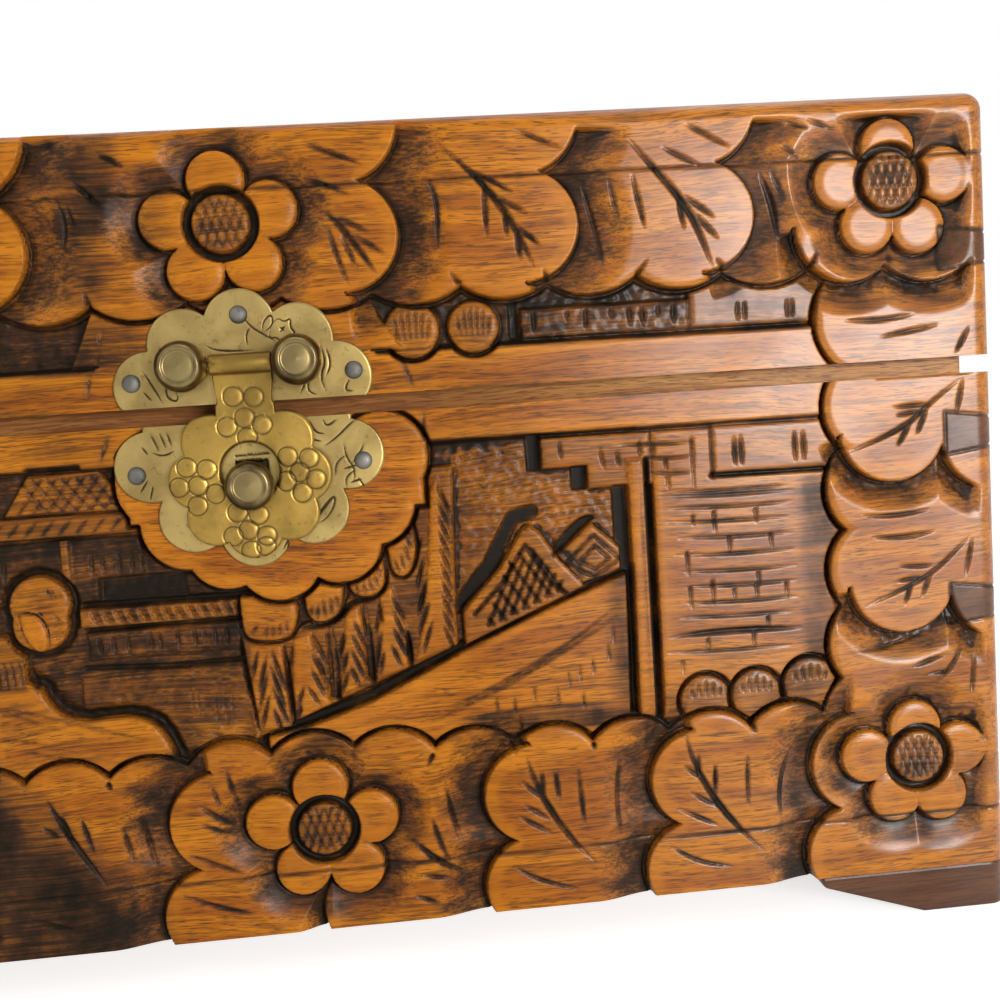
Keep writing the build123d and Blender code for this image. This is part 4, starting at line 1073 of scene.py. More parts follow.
@dataclass
class TopCarving:
    """The carving of the flat top: a scalloped field around a flower medallion."""

    canvas: Canvas
    half_x: float
    half_y: float

    def carve(self) -> None:
        """Carves the top. Its surface is measured from the middle of the lid."""
        c = self.canvas
        inner_x, inner_y = self.half_x - 30, self.half_y - 30
        lobes = [disc(16.9 * i, s * (inner_y + 10.4), 13.4) for s in (-1, 1) for i in range(-7, 8)]
        ends = [disc(s * (inner_x + 10.4), 16.9 * (i + 0.5), 13.4) for s in (-1, 1) for i in range(-4, 4)]
        frame_form = joined([slab(-200, 200, inner_y + 2, 200), slab(-200, 200, -200, -inner_y - 2),
                             slab(inner_x + 2, 200, -200, 200), slab(-200, -inner_x - 2, -200, 200), *lobes, *ends])
        c.level(slab(-inner_x - 3, inner_x + 3, -inner_y - 3, inner_y + 3), -3.0, 0.7)
        self.field_plants()
        medallion = joined([disc(0, 0, 22), *[disc(*circle) for circle in around((0, 0), 22, 7.4)]])
        for form in (frame_form, medallion):
            c.trench(form, 3.7, 1.5)
            c.level(form, 0.0, 0.0, wall=1.0, rounding=0.45, shoulder=1.6)
        for s in (-1, 1):
            for i in range(-3, 3):
                x = 33.8 * i + 16.9
                LeafEnd(((s * x, s * (inner_y + 10.4), 10.8),), (s, 0)).carve(c)
                veins = moved(LID_VEINS[99.4], x - 84.5, inner_y - 130)
                c.cuts([[(s * a, s * b) for a, b in stroke] for stroke in veins], Gouge(1.5, 0.7))
            for y in (-25.35, 8.45):
                LeafEnd(((s * (inner_x + 10.4), -s * y, 10.8),), (0, -s)).carve(c)
                veins = moved(LID_VEINS[99.4], y - 84.5, inner_x - 130)
                c.cuts([[(s * b, -s * a) for a, b in stroke] for stroke in veins], Gouge(1.5, 0.7))
            for t in (-1, 1):
                regular_flower(s * (self.half_x - 19.5), t * (self.half_y - 19.5), 45 * s * t).carve(c)
        regular_flower(0, 0).carve(c)
        c.rough((-inner_x, inner_x, -inner_y, inner_y), 0.15, 3.2)
        edge = np.minimum.outer(self.half_y - 4.0 - np.abs(c.up), self.half_x - 4.0 - np.abs(c.across))
        c.height *= smooth(edge / 2.5)
        c.finish()

    def field_plants(self) -> None:
        """Two straight sprays of paired leaves, from the medallion towards the ends of the field."""
        c = self.canvas
        start, pitch, lean = 25.7, 19.5, math.radians(40)
        for s in (-1, 1):
            stem = slab(*sorted((s * start, s * (start + 3.6 * pitch))), -1.3, 1.3)
            c.level(stem, -0.9, 0.25, wall=0.6, rounding=0.3)
            for i in range(4):
                foot = start + (i + 0.25) * pitch
                for up in (-1, 1):
                    def place(a: float, b: float) -> Point:
                        """A point of the leaf, along it and aside."""
                        return (s * (foot + a * math.cos(lean) - b * math.sin(lean)),
                                up * (a * math.sin(lean) + b * math.cos(lean)))

                    leaf = blob([place(a, b) for a, b in table("0,0 4,-3 10,-4.3 17,-3 22,0 17,3 10,4.3 4,3")])
                    c.trench(leaf, 3.5, 0.8)
                    c.level(leaf, -0.7, 0.1, wall=0.7, rounding=0.6, shoulder=2.2)
                    c.cut([place(1.5, 0), place(19, 0)], Gouge(1.1, 0.6))
                    c.cuts([[place(a, 0.1 * b), place(a + 3.4, b)] for a in (5, 9, 13) for b in (3.0, -3.0)],
                           Gouge(0.8, 0.4))


# ---------------- placing a carved surface on the box
class Side(Enum):
    """An upright face."""

    FRONT = "front"
    BACK = "back"
    LEFT = "left"
    RIGHT = "right"


@dataclass(frozen=True)
class Wrap:
    """Places points of a carved face in the box's frame.

    A front or back face runs round both upright corners; every face runs over the rounded top edge.
    """

    side: Side

    def plan(self, x: Field, y: Field, z: Field) -> Field:
        """Turns places from the face's own layout to the box's frame, in metres."""
        sign = -1.0 if self.side in (Side.BACK, Side.LEFT) else 1.0
        return np.stack([sign * x, sign * y + SIZES.middle, z], axis=-1) * MM

    def around_corner(self, u: Field) -> tuple[float, Field, Field]:
        """Where the flat ends, and for each point the turn round the corner and the run past it."""
        flat = SIZES.half_width - SIZES.corner
        over = np.abs(u) - flat
        return flat, np.clip(over / SIZES.corner, 0, math.pi / 2), np.clip(over - SIZES.turn, 0, None)

    def outer(self, u: Field, v: Field, h: Field) -> Field:
        """Places of the carved surface.

        Args:
            u: Along the face, round its corners.
            v: Up the face and over the top edge.
            h: Height of the carving, 0 at the board's face.

        Returns:
            The places in metres.
        """
        tilt = np.clip((v - SIZES.band_top) / SIZES.edge, 0, math.pi / 2)
        past = np.clip(v - SIZES.band_top - SIZES.edge * math.pi / 2, 0, None)
        reach = SIZES.corner - SIZES.edge + (SIZES.edge + h) * np.cos(tilt) - past
        z = np.where(v > SIZES.band_top, SIZES.band_top + (SIZES.edge + h) * np.sin(tilt), v)
        flat, turn, strip = self.around_corner(u)
        if self.side in (Side.LEFT, Side.RIGHT):
            return self.plan(flat + reach, u, z)
        x = np.sign(u) * (np.minimum(np.abs(u), flat) + reach * np.sin(turn))
        return self.plan(x, -(SIZES.half_depth - SIZES.corner) - reach * np.cos(turn) + strip, z)

    def inner(self, u: Field, inset: float, z: Field) -> Field:
        """Places of the inner surface, at a distance inside the box's outline.

        Args:
            u: Along the face, round its corners.
            inset: Distance inside the outline.
            z: Level.

        Returns:
            The places in metres.
        """
        flat, turn, strip = self.around_corner(u)
        if self.side in (Side.LEFT, Side.RIGHT):
            return self.plan(np.full_like(u, SIZES.half_width - inset), u, z)
        x = np.minimum(np.minimum(np.abs(u), flat) + SIZES.corner * np.sin(turn), SIZES.half_width - inset)
        y = strip - (SIZES.half_depth - SIZES.corner) - SIZES.corner * np.cos(turn)
        return self.plan(np.sign(u) * x, np.maximum(y, inset - SIZES.half_depth), z)


class Closing(Enum):
    """How the back of a carved board is closed."""

    WALL = "wall"
    RIM = "rim"
    SLAB = "slab"


def new_points(made: Iterable[object]) -> list[BMVert]:
    """The points among newly made geometry."""
    return [item for item in made if isinstance(item, BMVert)]


def new_edges(made: Iterable[object], points: Iterable[BMVert]) -> list[BMEdge]:
    """The edges among newly made geometry that run between the given points."""
    ends = set(points)
    return [item for item in made if isinstance(item, BMEdge) and set(item.verts) <= ends]


def open_edges(bm: BMesh) -> list[BMEdge]:
    """The edges with a face on one side only."""
    return [edge for edge in bm.edges if edge.is_boundary]


def meshed(bm: BMesh, soft: bool | None = True, outward: bool = True) -> Mesh:
    """Turns a bmesh into a mesh.

    Args:
        bm: The bmesh, which is freed.
        soft: Whether every face is shaded smooth, or None where that is already set.
        outward: Whether all faces are first turned outwards.

    Returns:
        The mesh.
    """
    if outward:
        bmesh.ops.recalc_face_normals(bm, faces=bm.faces)
    if soft is not None:
        for face in bm.faces:
            face.smooth = soft
    mesh = bpy.data.meshes.new("piece")
    bm.to_mesh(mesh)
    bm.free()
    return mesh


def grid_solid(columns: int, rows: int, closing: Closing) -> Mesh:
    """A closed mesh over a grid that still lies flat.

    Args:
        columns: Points across.
        rows: Points up.
        closing: How the back is closed.

    Returns:
        The mesh, with the grid on z = 0 and its inner points on z = -1.
    """
    bm = bmesh.new()
    bmesh.ops.create_grid(bm, x_segments=columns - 1, y_segments=rows - 1, size=0.5)
    rim = open_edges(bm)
    for edge in rim:
        edge.smooth = False
    low, high = ([e for e in rim if all(s * v.co.y > 0.4999 for v in e.verts)] for s in (-1, 1))

    def sunk(edges: list[BMEdge]) -> list[BMEdge]:
        """The edges of a wall grown down from the given ones."""
        made = bmesh.ops.extrude_edge_only(bm, edges=edges)["geom"]
        bmesh.ops.translate(bm, verts=new_points(made), vec=(0, 0, -1))
        return new_edges(made, new_points(made))

    if closing is Closing.SLAB:
        sunk(rim)
    else:
        bmesh.ops.bridge_loops(bm, edges=sunk(low) + (high if closing is Closing.RIM else sunk(high)))
    bmesh.ops.holes_fill(bm, edges=open_edges(bm), sides=0)
    return meshed(bm)


def carved_mesh(canvas: Canvas, rows: slice, columns: slice, closing: Closing,
                place: Callable[[Field, Field, Field, Field], Field]) -> Mesh:
    """A closed mesh over part of a carved surface, with its stain, cavity and end grain.

    Args:
        canvas: The surface.
        rows: The part's lines from bottom to top.
        columns: The part's lines from left to right.
        closing: How the back is closed.
        place: Places in metres of points, by x, z, height and whether they are inner ones.

    Returns:
        The mesh.
    """
    nr, nc = rows.stop - rows.start, columns.stop - columns.start
    mesh = grid_solid(nc, nr, closing)
    points = np.empty(len(mesh.vertices) * 3)
    mesh.vertices.foreach_get("co", points)
    x, y, z = points.reshape(-1, 3).T
    index = (np.rint((y + 0.5) * (nr - 1)).astype(int) + rows.start,
             np.rint((x + 0.5) * (nc - 1)).astype(int) + columns.start)
    inner = z < -0.5
    places = place(canvas.across[index[1]], canvas.up[index[0]], canvas.height[index], inner)
    mesh.vertices.foreach_set("co", places.ravel())
    for name in ("stain", "cavity", "end_grain"):
        values = getattr(canvas, name)[index].astype(np.float32)
        values[inner] = 0.0
        mesh.attributes.new(name, "FLOAT", "POINT").data.foreach_set("value", values)
    mesh.update()
    return mesh


def linked(name: str, data: object) -> Object:
    """A new object in the scene."""
    made = bpy.data.objects.new(name, data)
    bpy.context.scene.collection.objects.link(made)
    return made


def dress(mesh: Mesh, material: Material) -> None:
    """Gives a mesh one material."""
    mesh.materials.clear()
    mesh.materials.append(material)


def add_piece(name: str, mesh: Mesh, material: Material, body: str, slot: str, *nodes: str) -> None:
    """Adds a finished mesh to the object.

    Args:
        name: Piece name.
        mesh: Its mesh, in the box's frame.
        material: Its finish.
        body: CAD body it rides on.
        slot: Not used.
        nodes: CAD nodes it stands for.
    """
    mesh.name = name
    dress(mesh, material)
    piece = linked(name, mesh)
    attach(piece, body)
    if nodes:
        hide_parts(*nodes)
    mesh.calc_loop_triangles()
    LOG.info("%s: %d triangles on %s", name, len(mesh.loop_triangles), body)


@dataclass(frozen=True)
class CarvedBoard:
    """One board, or part of one, with a carved outer surface."""

    name: str
    node: str
    body: str
    low: float
    high: float
    inset: float = 4.8
    closing: Closing = Closing.WALL

    def build(self, canvas: Canvas, wrap: Wrap, material: Material, most: int = 92000) -> None:
        """Builds the board from its part of a carved surface.

        Args:
            canvas: The carved surface.
            wrap: Where the surface lies.
            material: Finish.
            most: Largest number of faces in a piece.
        """
        def place(u: Field, v: Field, height: Field, inner: Field) -> Field:
            """Points on the carved surface, and inner ones behind it."""
            places = wrap.outer(u, v, height)
            level = v[inner] if self.closing is Closing.WALL else np.full(inner.sum(), self.low)
            places[inner] = wrap.inner(u[inner], self.inset, level)
            return places

        r0, r1 = np.searchsorted(canvas.up, (self.low - 1e-6, self.high + 1e-6))
        count = len(canvas.across)
        parts = max(1, math.ceil(count * (r1 - r0) / most))
        cuts = [round(i * (count - 1) / parts) for i in range(parts + 1)]
        for i, (c0, c1) in enumerate(zip(cuts, cuts[1:])):
            mesh = carved_mesh(canvas, slice(r0, r1), slice(c0, c1 + 1), self.closing, place)
            suffix = f"_{i + 1}" if parts > 1 else ""
            add_piece(f"carved_{self.name}{suffix}", mesh, material, self.body, "carved_wood", self.node)


# ---------------- node helpers and shared effects
class Nodes:
    """Short ways to build a node tree."""

    def __init__(self, tree: NodeTree) -> None:
        """Works on one node tree."""
        self.tree = tree

    def add(self, kind: str, inputs: dict[str | int, object] | None = None, **settings: object) -> Node:
        """A node with settings, and inputs that are values or other nodes' sockets.

        Args:
            kind: Type of the node.
            inputs: Values or sockets by the input's name or number.
            **settings: Settings of the node.

        Returns:
            The node.
        """
        node = self.tree.nodes.new(f"ShaderNode{kind}")
        for key, value in settings.items():
            setattr(node, key, value)
        for key, value in (inputs or {}).items():
            self.feed(node.inputs[key], value)
        return node

    def feed(self, socket: NodeSocket, value: object) -> None:
        """Links a socket to another, or sets its value.

        Args:
            socket: The input.
            value: A socket or a value.
        """
        if isinstance(value, NodeSocket):
            self.tree.links.new(value, socket)
        else:
            socket.default_value = value

    def math(self, operation: str, a: object, b: object = 0.0, clamp: bool = False) -> NodeSocket:
        """A math node's result."""
        return self.add("Math", {0: a, 1: b}, operation=operation, use_clamp=clamp).outputs[0]

    def times(self, a: object, b: object) -> NodeSocket:
        """A product."""
        return self.math("MULTIPLY", a, b)

    def plus(self, a: object, b: object) -> NodeSocket:
        """A sum."""
        return self.math("ADD", a, b)

    def mix(self, share: object, a: object, b: object) -> NodeSocket:
        """A colour mix."""
        return self.add("Mix", {0: share, 6: a, 7: b}, data_type="RGBA", blend_type="MIX").outputs[2]

    def span(self, value: object, low: float, high: float, to_low: float = 0.0, to_high: float = 1.0,
             kind: str = "SMOOTHSTEP") -> NodeSocket:
        """Maps a range to another, clamped."""
        inputs = {0: value, 1: low, 2: high, 3: to_low, 4: to_high}
        return self.add("MapRange", inputs, interpolation_type=kind).outputs[0]

    def noise(self, vector: object, scale: float, detail: float = 3.0, rough: float = 0.5,
              distortion: float = 0.0) -> NodeSocket:
        """A noise pattern."""
        return self.add("TexNoise", {"Vector": vector, "Scale": scale, "Detail": detail, "Roughness": rough,
                                     "Distortion": distortion}).outputs[0]

    def stretched(self, vector: object, along: float, aside: float, up: float, *noise: float) -> NodeSocket:
        """A noise pattern stretched along each axis, with its detail and roughness."""
        scaled = self.add("VectorMath", {0: vector, 1: (along, aside, up)}, operation="MULTIPLY").outputs[0]
        return self.noise(scaled, 1.0, *noise)

    def layer(self, name: str) -> NodeSocket:
        """A value carried by the mesh's points."""
        return self.add("Attribute", attribute_name=name, attribute_type="GEOMETRY").outputs["Fac"]

    def use(self, group: NodeTree, **inputs: object) -> list[NodeSocket]:
        """A group's outputs."""
        return list(self.add("Group", inputs, node_tree=group).outputs)

    def bump(self, strength: float, distance: float, height: NodeSocket) -> NodeSocket:
        """A surface's direction after small lumps."""
        return self.add("Bump", {"Strength": strength, "Distance": distance, "Height": height}).outputs[0]


def emptied(owner: Material | World) -> Nodes:
    """The node builder of a material or world, with its node tree emptied."""
    owner.use_nodes = True
    owner.node_tree.nodes.clear()
    return Nodes(owner.node_tree)


def new_group(name: str, inputs: dict[str, float | None], outputs: Sequence[str]) -> tuple[Nodes, dict, dict]:
    """An empty shader node group.

    Args:
        name: Group name.
        inputs: Defaults of the value inputs by name, or None for a vector.
        outputs: Names of value outputs.

    Returns:
        The tree's builder, its input sockets by name and its output sockets by name.
    """
    tree = bpy.data.node_groups.new(name, "ShaderNodeTree")
    for socket, default in inputs.items():
        kind = "NodeSocketVector" if default is None else "NodeSocketFloat"
        made = tree.interface.new_socket(name=socket, in_out="INPUT", socket_type=kind)
        if default is not None:
            made.default_value = default
    for socket in outputs:
        tree.interface.new_socket(name=socket, in_out="OUTPUT", socket_type="NodeSocketFloat")
    source, sink = tree.nodes.new("NodeGroupInput"), tree.nodes.new("NodeGroupOutput")
    return Nodes(tree), {s.name: s for s in source.outputs}, {s.name: s for s in sink.inputs}


def wood_grain_group() -> NodeTree:
    """Grain along the local x axis: fine fibres, broad figure, dark pores and their relief.

    Returns:
        The node group.
    """
    n, given, out = new_group("wood_grain", {"Vector": None, "Pores": 1.0}, ("Fibre", "Figure", "Pore", "Height"))
    vector = given["Vector"]
    bend = n.noise(vector, 14.0, 2.0)
    wander = n.add("CombineXYZ", {0: 0.0, 1: n.times(bend, 0.006), 2: n.times(bend, 0.009)})
    bent = n.add("VectorMath", {0: vector, 1: wander.outputs[0]}, operation="ADD").outputs[0]
    fibre = n.stretched(bent, 60.0, 1900.0, 1900.0, 4.0, 0.62)
    broad = n.stretched(bent, 12.0, 230.0, 230.0, 4.0, 0.62, 0.6)
    pore = n.stretched(bent, 300.0, 5200.0, 5200.0, 1.0, 0.4)
    holes = n.times(n.span(pore, 0.56, 0.66), given["Pores"])
    relief = n.math("SUBTRACT", n.times(fibre, 0.5), n.times(holes, 0.6))
    for name, value in (("Fibre", fibre), ("Figure", broad), ("Pore", holes), ("Height", relief)):
        n.feed(out[name], value)
    return n.tree


def stain_and_painted_shade_group() -> NodeTree:
    """Where old stain sits in the cuts, with painted shade added in hollows and broken up in patches; and lighter
    raised edges from wear, partly a painted highlight.

    Returns:
        The node group.
    """
    n, given, out = new_group("stain_and_painted_shade", {"Vector": None, "Stain": 0.0, "Cavity": 0.0, "Patches": 1.0},
                              ("Dark", "WornAndHighlit"))
    cloud = n.noise(given["Vector"], 120.0, 4.0, 0.6)
    patch = n.times(n.math("SUBTRACT", cloud, 0.5), given["Patches"])
    # painted shade in the hollows of the carving, added to the stain in the cuts
    hollow_shade = n.span(given["Cavity"], 0.02, 0.5)
    dark = n.math("MAXIMUM", given["Stain"], n.times(hollow_shade, 0.75))
    share = n.times(n.span(dark, 0.02, 0.45), patch)
    n.feed(out["Dark"], n.math("ADD", dark, share, clamp=True))
    # lighter raised edges: wear, and partly a painted highlight
    worn_and_highlit = n.span(given["Cavity"], -0.03, -0.32)
    n.feed(out["WornAndHighlit"], n.times(worn_and_highlit, n.span(cloud, 0.3, 0.6, 0.35, 1.0)))
    return n.tree


def tarnish_group() -> NodeTree:
    """Clouds, spots and fine scratches of old metal.

    Returns:
        The node group.
    """
    n, given, out = new_group("tarnish", {"Vector": None}, ("Cloud", "Spot", "Scratch"))
    vector = given["Vector"]
    n.feed(out["Cloud"], n.span(n.noise(vector, 95.0, 4.0, 0.6, 0.4), 0.34, 0.66))
    n.feed(out["Spot"], n.span(n.noise(vector, 900.0, 3.0, 0.6), 0.58, 0.72))
    n.feed(out["Scratch"], n.stretched(vector, 420.0, 900.0, 5200.0, 2.0, 0.6))
    return n.tree


Colour = tuple[float, float, float, float]


def new_material(name: str) -> tuple[Material, Nodes, Node, NodeSocket]:
    """A material with an empty Principled shader, its node builder and its object coordinates.

    Args:
        name: Material name.

    Returns:
        The material, its builder, its shader and the coordinates.
    """
    material = bpy.data.materials.new(name)
    n = emptied(material)
    shader = n.add("BsdfPrincipled")
    n.add("OutputMaterial", {0: shader.outputs[0]})
    return material, n, shader, n.add("TexCoord").outputs["Object"]


@dataclass(frozen=True)
class WoodFinish:
    """Varnished wood: colours from its lightest streaks to the stain in its cuts."""

    name: str
    light: Colour = (0.50, 0.168, 0.008, 1)
    warm: Colour = (0.31, 0.085, 0.005, 1)
    streak: Colour = (0.095, 0.027, 0.004, 1)
    brown: Colour = (0.052, 0.021, 0.008, 1)
    black: Colour = (0.009, 0.006, 0.003, 1)
    turned: bool = False
    gloss: float = 0.4
    coat: float = 0.2
    relief: float = 0.25
    left_shade: float = 0.0

    def build(self, groups: dict[str, NodeTree]) -> Material:
        """The material, with grain along x, or along y where the board is turned.

        Args:
            groups: The shared node groups by name.

        Returns:
            The material.
        """
        material, n, shader, place = new_material(self.name)
        turn = (0, 0, math.pi / 2 if self.turned else 0.0)
        along = n.add("Mapping", {"Vector": place, "Rotation": turn}).outputs[0]
        fibre, figure, pore, height = n.use(groups["grain"], Vector=along, Pores=1.0)
        along_x = n.add("SeparateXYZ", {0: place}).outputs[0]
        stain, cavity, end = n.layer("stain"), n.layer("cavity"), n.layer("end_grain")
        # dark holds the stain with painted shade in hollows; the second output lightens raised edges, partly a
        # painted highlight
        dark, worn_and_highlit = n.use(groups["stain"], Vector=place, Stain=stain, Cavity=cavity)
        colour = n.mix(n.span(figure, 0.38, 0.62), self.light, self.warm)
        colour = n.mix(n.times(n.span(fibre, 0.44, 0.66), 0.66), colour, self.streak)
        colour = n.mix(n.times(pore, 0.7), colour, self.brown)
        # lighter raised edges from wear, partly a painted highlight
        colour = n.mix(n.times(worn_and_highlit, 0.5), colour, self.light)
        # painted shade: darker streaks towards the left end, set for the lip strip
        left_shading = n.times(n.span(along_x, 0.125, 0.0, 0.0, self.left_shade), n.span(fibre, 0.3, 0.65, 0.7, 1.0))
        colour = n.mix(left_shading, colour, self.streak)
        colour = n.mix(n.times(end, 0.75), colour, self.streak)
        half_way = n.times(n.times(dark, n.math("SUBTRACT", 1.0, dark)), 4.0)
        ragged = n.plus(dark, n.times(n.math("SUBTRACT", fibre, 0.5), half_way))
        colour = n.mix(n.span(ragged, 0.04, 0.7, kind="LINEAR"), colour, self.brown)
        colour = n.mix(n.span(ragged, 0.6, 0.95), colour, self.black)
        n.feed(shader.inputs["Base Color"], colour)
        rough = n.plus(n.times(fibre, 0.16), self.gloss - 0.08)
        n.feed(shader.inputs["Roughness"], n.plus(rough, n.times(dark, 0.14)))
        thick = n.times(n.span(along_x, 0.035, 0.105, 1.0, 4.4),
                        n.span(n.noise(place, 38.0, 3.0), 0.3, 0.62, 0.55, 1.0))
        n.feed(shader.inputs["Coat Weight"], n.times(thick, n.span(dark, 0.2, 0.9, self.coat, 0.35 * self.coat)))
        n.feed(shader.inputs["Coat Roughness"], 0.3)
        n.feed(shader.inputs["Specular IOR Level"], 0.06)
        wave = n.stretched(along, 110.0, 260.0, 260.0, 2.0, 0.5)
        lumps = n.plus(n.times(height, self.relief), n.times(wave, 0.55))
        n.feed(shader.inputs["Normal"], n.bump(0.55, 0.00035, lumps))
        return material


@dataclass(frozen=True)
class MetalFinish:
    """Old polished metal with darker tarnish, dirt in its engraving and a painted highlight on the knobs' flat faces.
    """

    name: str
    bright: Colour
    dull: Colour
    gloss: float = 0.34
    dirt: Colour = (0.035, 0.024, 0.012, 1)
    scratch: float = 0.12

    def build(self, groups: dict[str, NodeTree]) -> Material:
        """The material.

        Args:
            groups: The shared node groups by name.

        Returns:
            The material.
        """
        material, n, shader, place = new_material(self.name)
        cloud, spot, scratch = n.use(groups["tarnish"], Vector=place)
        colour = n.mix(cloud, self.bright, self.dull)
        colour = n.mix(n.times(spot, 0.35), colour, self.dirt)
        colour = n.mix(n.span(n.layer("stain"), 0.05, 0.7), colour, self.dirt)
        # painted highlight: the flat front faces of the knobs are brightened
        colour = n.mix(n.times(n.layer("highlight_flat"), 0.7), colour, self.bright)
        n.feed(shader.inputs["Base Color"], colour)
        n.feed(shader.inputs["Metallic"], 1.0)
        rough = n.plus(n.times(cloud, 0.12), self.gloss)
        n.feed(shader.inputs["Roughness"], n.plus(rough, n.times(spot, 0.15)))
        lumps = n.plus(n.times(scratch, self.scratch), n.times(cloud, 0.5))
        n.feed(shader.inputs["Normal"], n.bump(0.35, 0.00015, lumps))
        return material


# ---------------- metal pieces with round outlines
Outline = Callable[[Field], Field]


def reach_of(circles: Sequence[Circle], centre: Point) -> Outline:
    """Distance from a centre to the outer outline of joined circles, by angle from +x.

    Args:
        circles: Middles and radii.
        centre: A point inside.

    Returns:
        The outline as a function of the angle.
    """
    def reach(angle: Field) -> Field:
        """The farthest circle's outline at each angle."""
        far = np.zeros_like(angle)
        for x, z, radius in circles:
            dx, dz = x - centre[0], z - centre[1]
            hit = radius**2 - (dx * np.sin(angle) - dz * np.cos(angle)) ** 2
            along = dx * np.cos(angle) + dz * np.sin(angle)
            far = np.maximum(far, np.where(hit > 0, along + np.sqrt(np.clip(hit, 0, None)), 0))
        return far

    return reach


@dataclass
class RoundPlate:
    """A flat metal piece grown in rings about a centre on the front, with engraving or stamping."""

    centre: Point
    outline: Outline
    relief: Relief
    spokes: int
    rings: int
    thick: float
    start: float = 0.0
    stop: float = 2 * math.pi
    inner: float = 0.0
    back: float = 0.0
    edge: float = 0.5
    drop: float = 0.3
    plane: float = SIZES.front
    facing: int = 1

    def add_to(self, bm: BMesh) -> None:
        """Adds the piece to a mesh that has a stain layer.

        Args:
            bm: The mesh.
        """
        stain = bm.verts.layers.float["stain"]
        made = bmesh.ops.create_grid(bm, x_segments=self.spokes, y_segments=self.rings, size=0.5)["verts"]
        points = np.array([vert.co for vert in made])
        angle = self.start + (points[:, 0] + 0.5) * (self.stop - self.start)
        limit = self.outline(angle)
        radius = self.inner + (limit - self.inner) * (1 - (0.5 - points[:, 1]) ** 1.25)
        x, z = self.centre[0] + radius * np.cos(angle), self.centre[1] + radius * np.sin(angle)
        height, dark = self.relief(x, z)
        from_edge = np.minimum(limit - radius, radius - self.inner if self.inner > 0 else np.inf)
        proud = self.back + self.thick + height - self.drop * np.clip(1 - from_edge / self.edge, 0, 1) ** 2
        for vert, px, py, pz, value in zip(made, x, self.plane - self.facing * proud, z, dark):
            vert.co = (self.facing * px * MM, py * MM, pz * MM)
            vert[stain] = value
        faces = {face for vert in made for face in vert.link_faces}
        bmesh.ops.remove_doubles(bm, verts=made, dist=1e-7)
        edges = list({edge for face in faces if face.is_valid for edge in face.edges if edge.is_boundary})
        for edge in edges:
            edge.smooth = False
        rim = bmesh.ops.extrude_edge_only(bm, edges=edges)["geom"]
        behind = new_points(rim)
        for vert in behind:
            vert.co.y = (self.plane - self.facing * self.back) * MM
            vert[stain] = 0.0
        if self.inner > 0:
            bmesh.ops.bridge_loops(bm, edges=new_edges(rim, behind))
        else:
            bmesh.ops.holes_fill(bm, edges=new_edges(rim, behind), sides=0)


def metal_mesh(plates: Sequence[RoundPlate]) -> Mesh:
    """One mesh from several round plates, closed and facing outwards.

    Args:
        plates: The plates.

    Returns:
        The mesh.
    """
    bm = bmesh.new()
    bm.verts.layers.float.new("stain")
    for plate in plates:
        plate.add_to(bm)
    return meshed(bm)


def turned_mesh(profile: Stroke, places: Sequence[Point], steps: int = 64, highlight_flat: float = 0.0) -> Mesh:
    """A round piece turned from a profile, repeated at places on the front.

    Args:
        profile: Radius and distance in front of the wood, from the axis at the back to the axis at the front.
        places: Middles of the copies.
        steps: Faces around.
        highlight_flat: Radius of the flat front face that gets a painted highlight.

    Returns:
        The mesh.
    """
    bm = bmesh.new()
    bm.verts.layers.float.new("stain")
    highlit = bm.verts.layers.float.new("highlight_flat")
    face_level = 0.9 * max(proud for _, proud in profile) * MM
    for x, z in places:
        others = set(bm.verts)
        start = [bm.verts.new((radius * MM, 0, proud * MM)) for radius, proud in profile]
        edges = [bm.edges.new(pair) for pair in zip(start, start[1:])]
        bmesh.ops.spin(bm, geom=start + edges, cent=(0, 0, 0), axis=(0, 0, 1), angle=2 * math.pi, steps=steps,
                       use_merge=True)
        verts = [vert for vert in bm.verts if vert not in others]
        for vert in verts:
            across, along, proud = vert.co
            # painted highlight on the flat front face
            vert[highlit] = float(math.hypot(across, along) < highlight_flat * MM and proud > face_level)
            vert.co = (x * MM + across, SIZES.front * MM - proud, z * MM + along)
        bmesh.ops.remove_doubles(bm, verts=verts, dist=1e-7)
    return meshed(bm)


def sampled(canvas: Canvas) -> Relief:
    """Reads an engraved surface anywhere, between its lines.

    Args:
        canvas: The engraved surface.

    Returns:
        A function that gives height and stain at places.
    """
    def read(x: Field, z: Field) -> tuple[Field, Field]:
        """Height and stain at points."""
        i, j = (np.clip(np.interp(place, grid, np.arange(len(grid))), 0, len(grid) - 1.001)
                for place, grid in ((x, canvas.across), (z, canvas.up)))
        i0, j0 = i.astype(int), j.astype(int)
        fi, fj = i - i0, j - j0

        def between(layer: Field) -> Field:
            """A layer's values between its lines."""
            low, high = (layer[row, i0] * (1 - fi) + layer[row, i0 + 1] * fi for row in (j0, j0 + 1))
            return low * (1 - fj) + high * fj

        return between(canvas.height), between(canvas.stain)

    return read


KNOB = rounded("0,0.2 3,0.2 2.9,0.9 3.4,1.6 4.45,3.4 4.75,5.2 4.5,7.2 3.7,8.7 3,8.75 2.7,8.35 2,8.5 0,8.72", 3)
BUTTON = rounded("0,0.3 2.3,0.3 2.3,3 2.6,3.3 4.2,4.1 4.6,5.4 4.3,6.7 3.6,7.5 3,7.55 2.7,7.2 2,7.3 0,7.52", 3)
NAIL_HEAD = rounded("0,0.6 1.6,0.6 1.72,0.85 1.5,1.25 0.9,1.6 0,1.68")


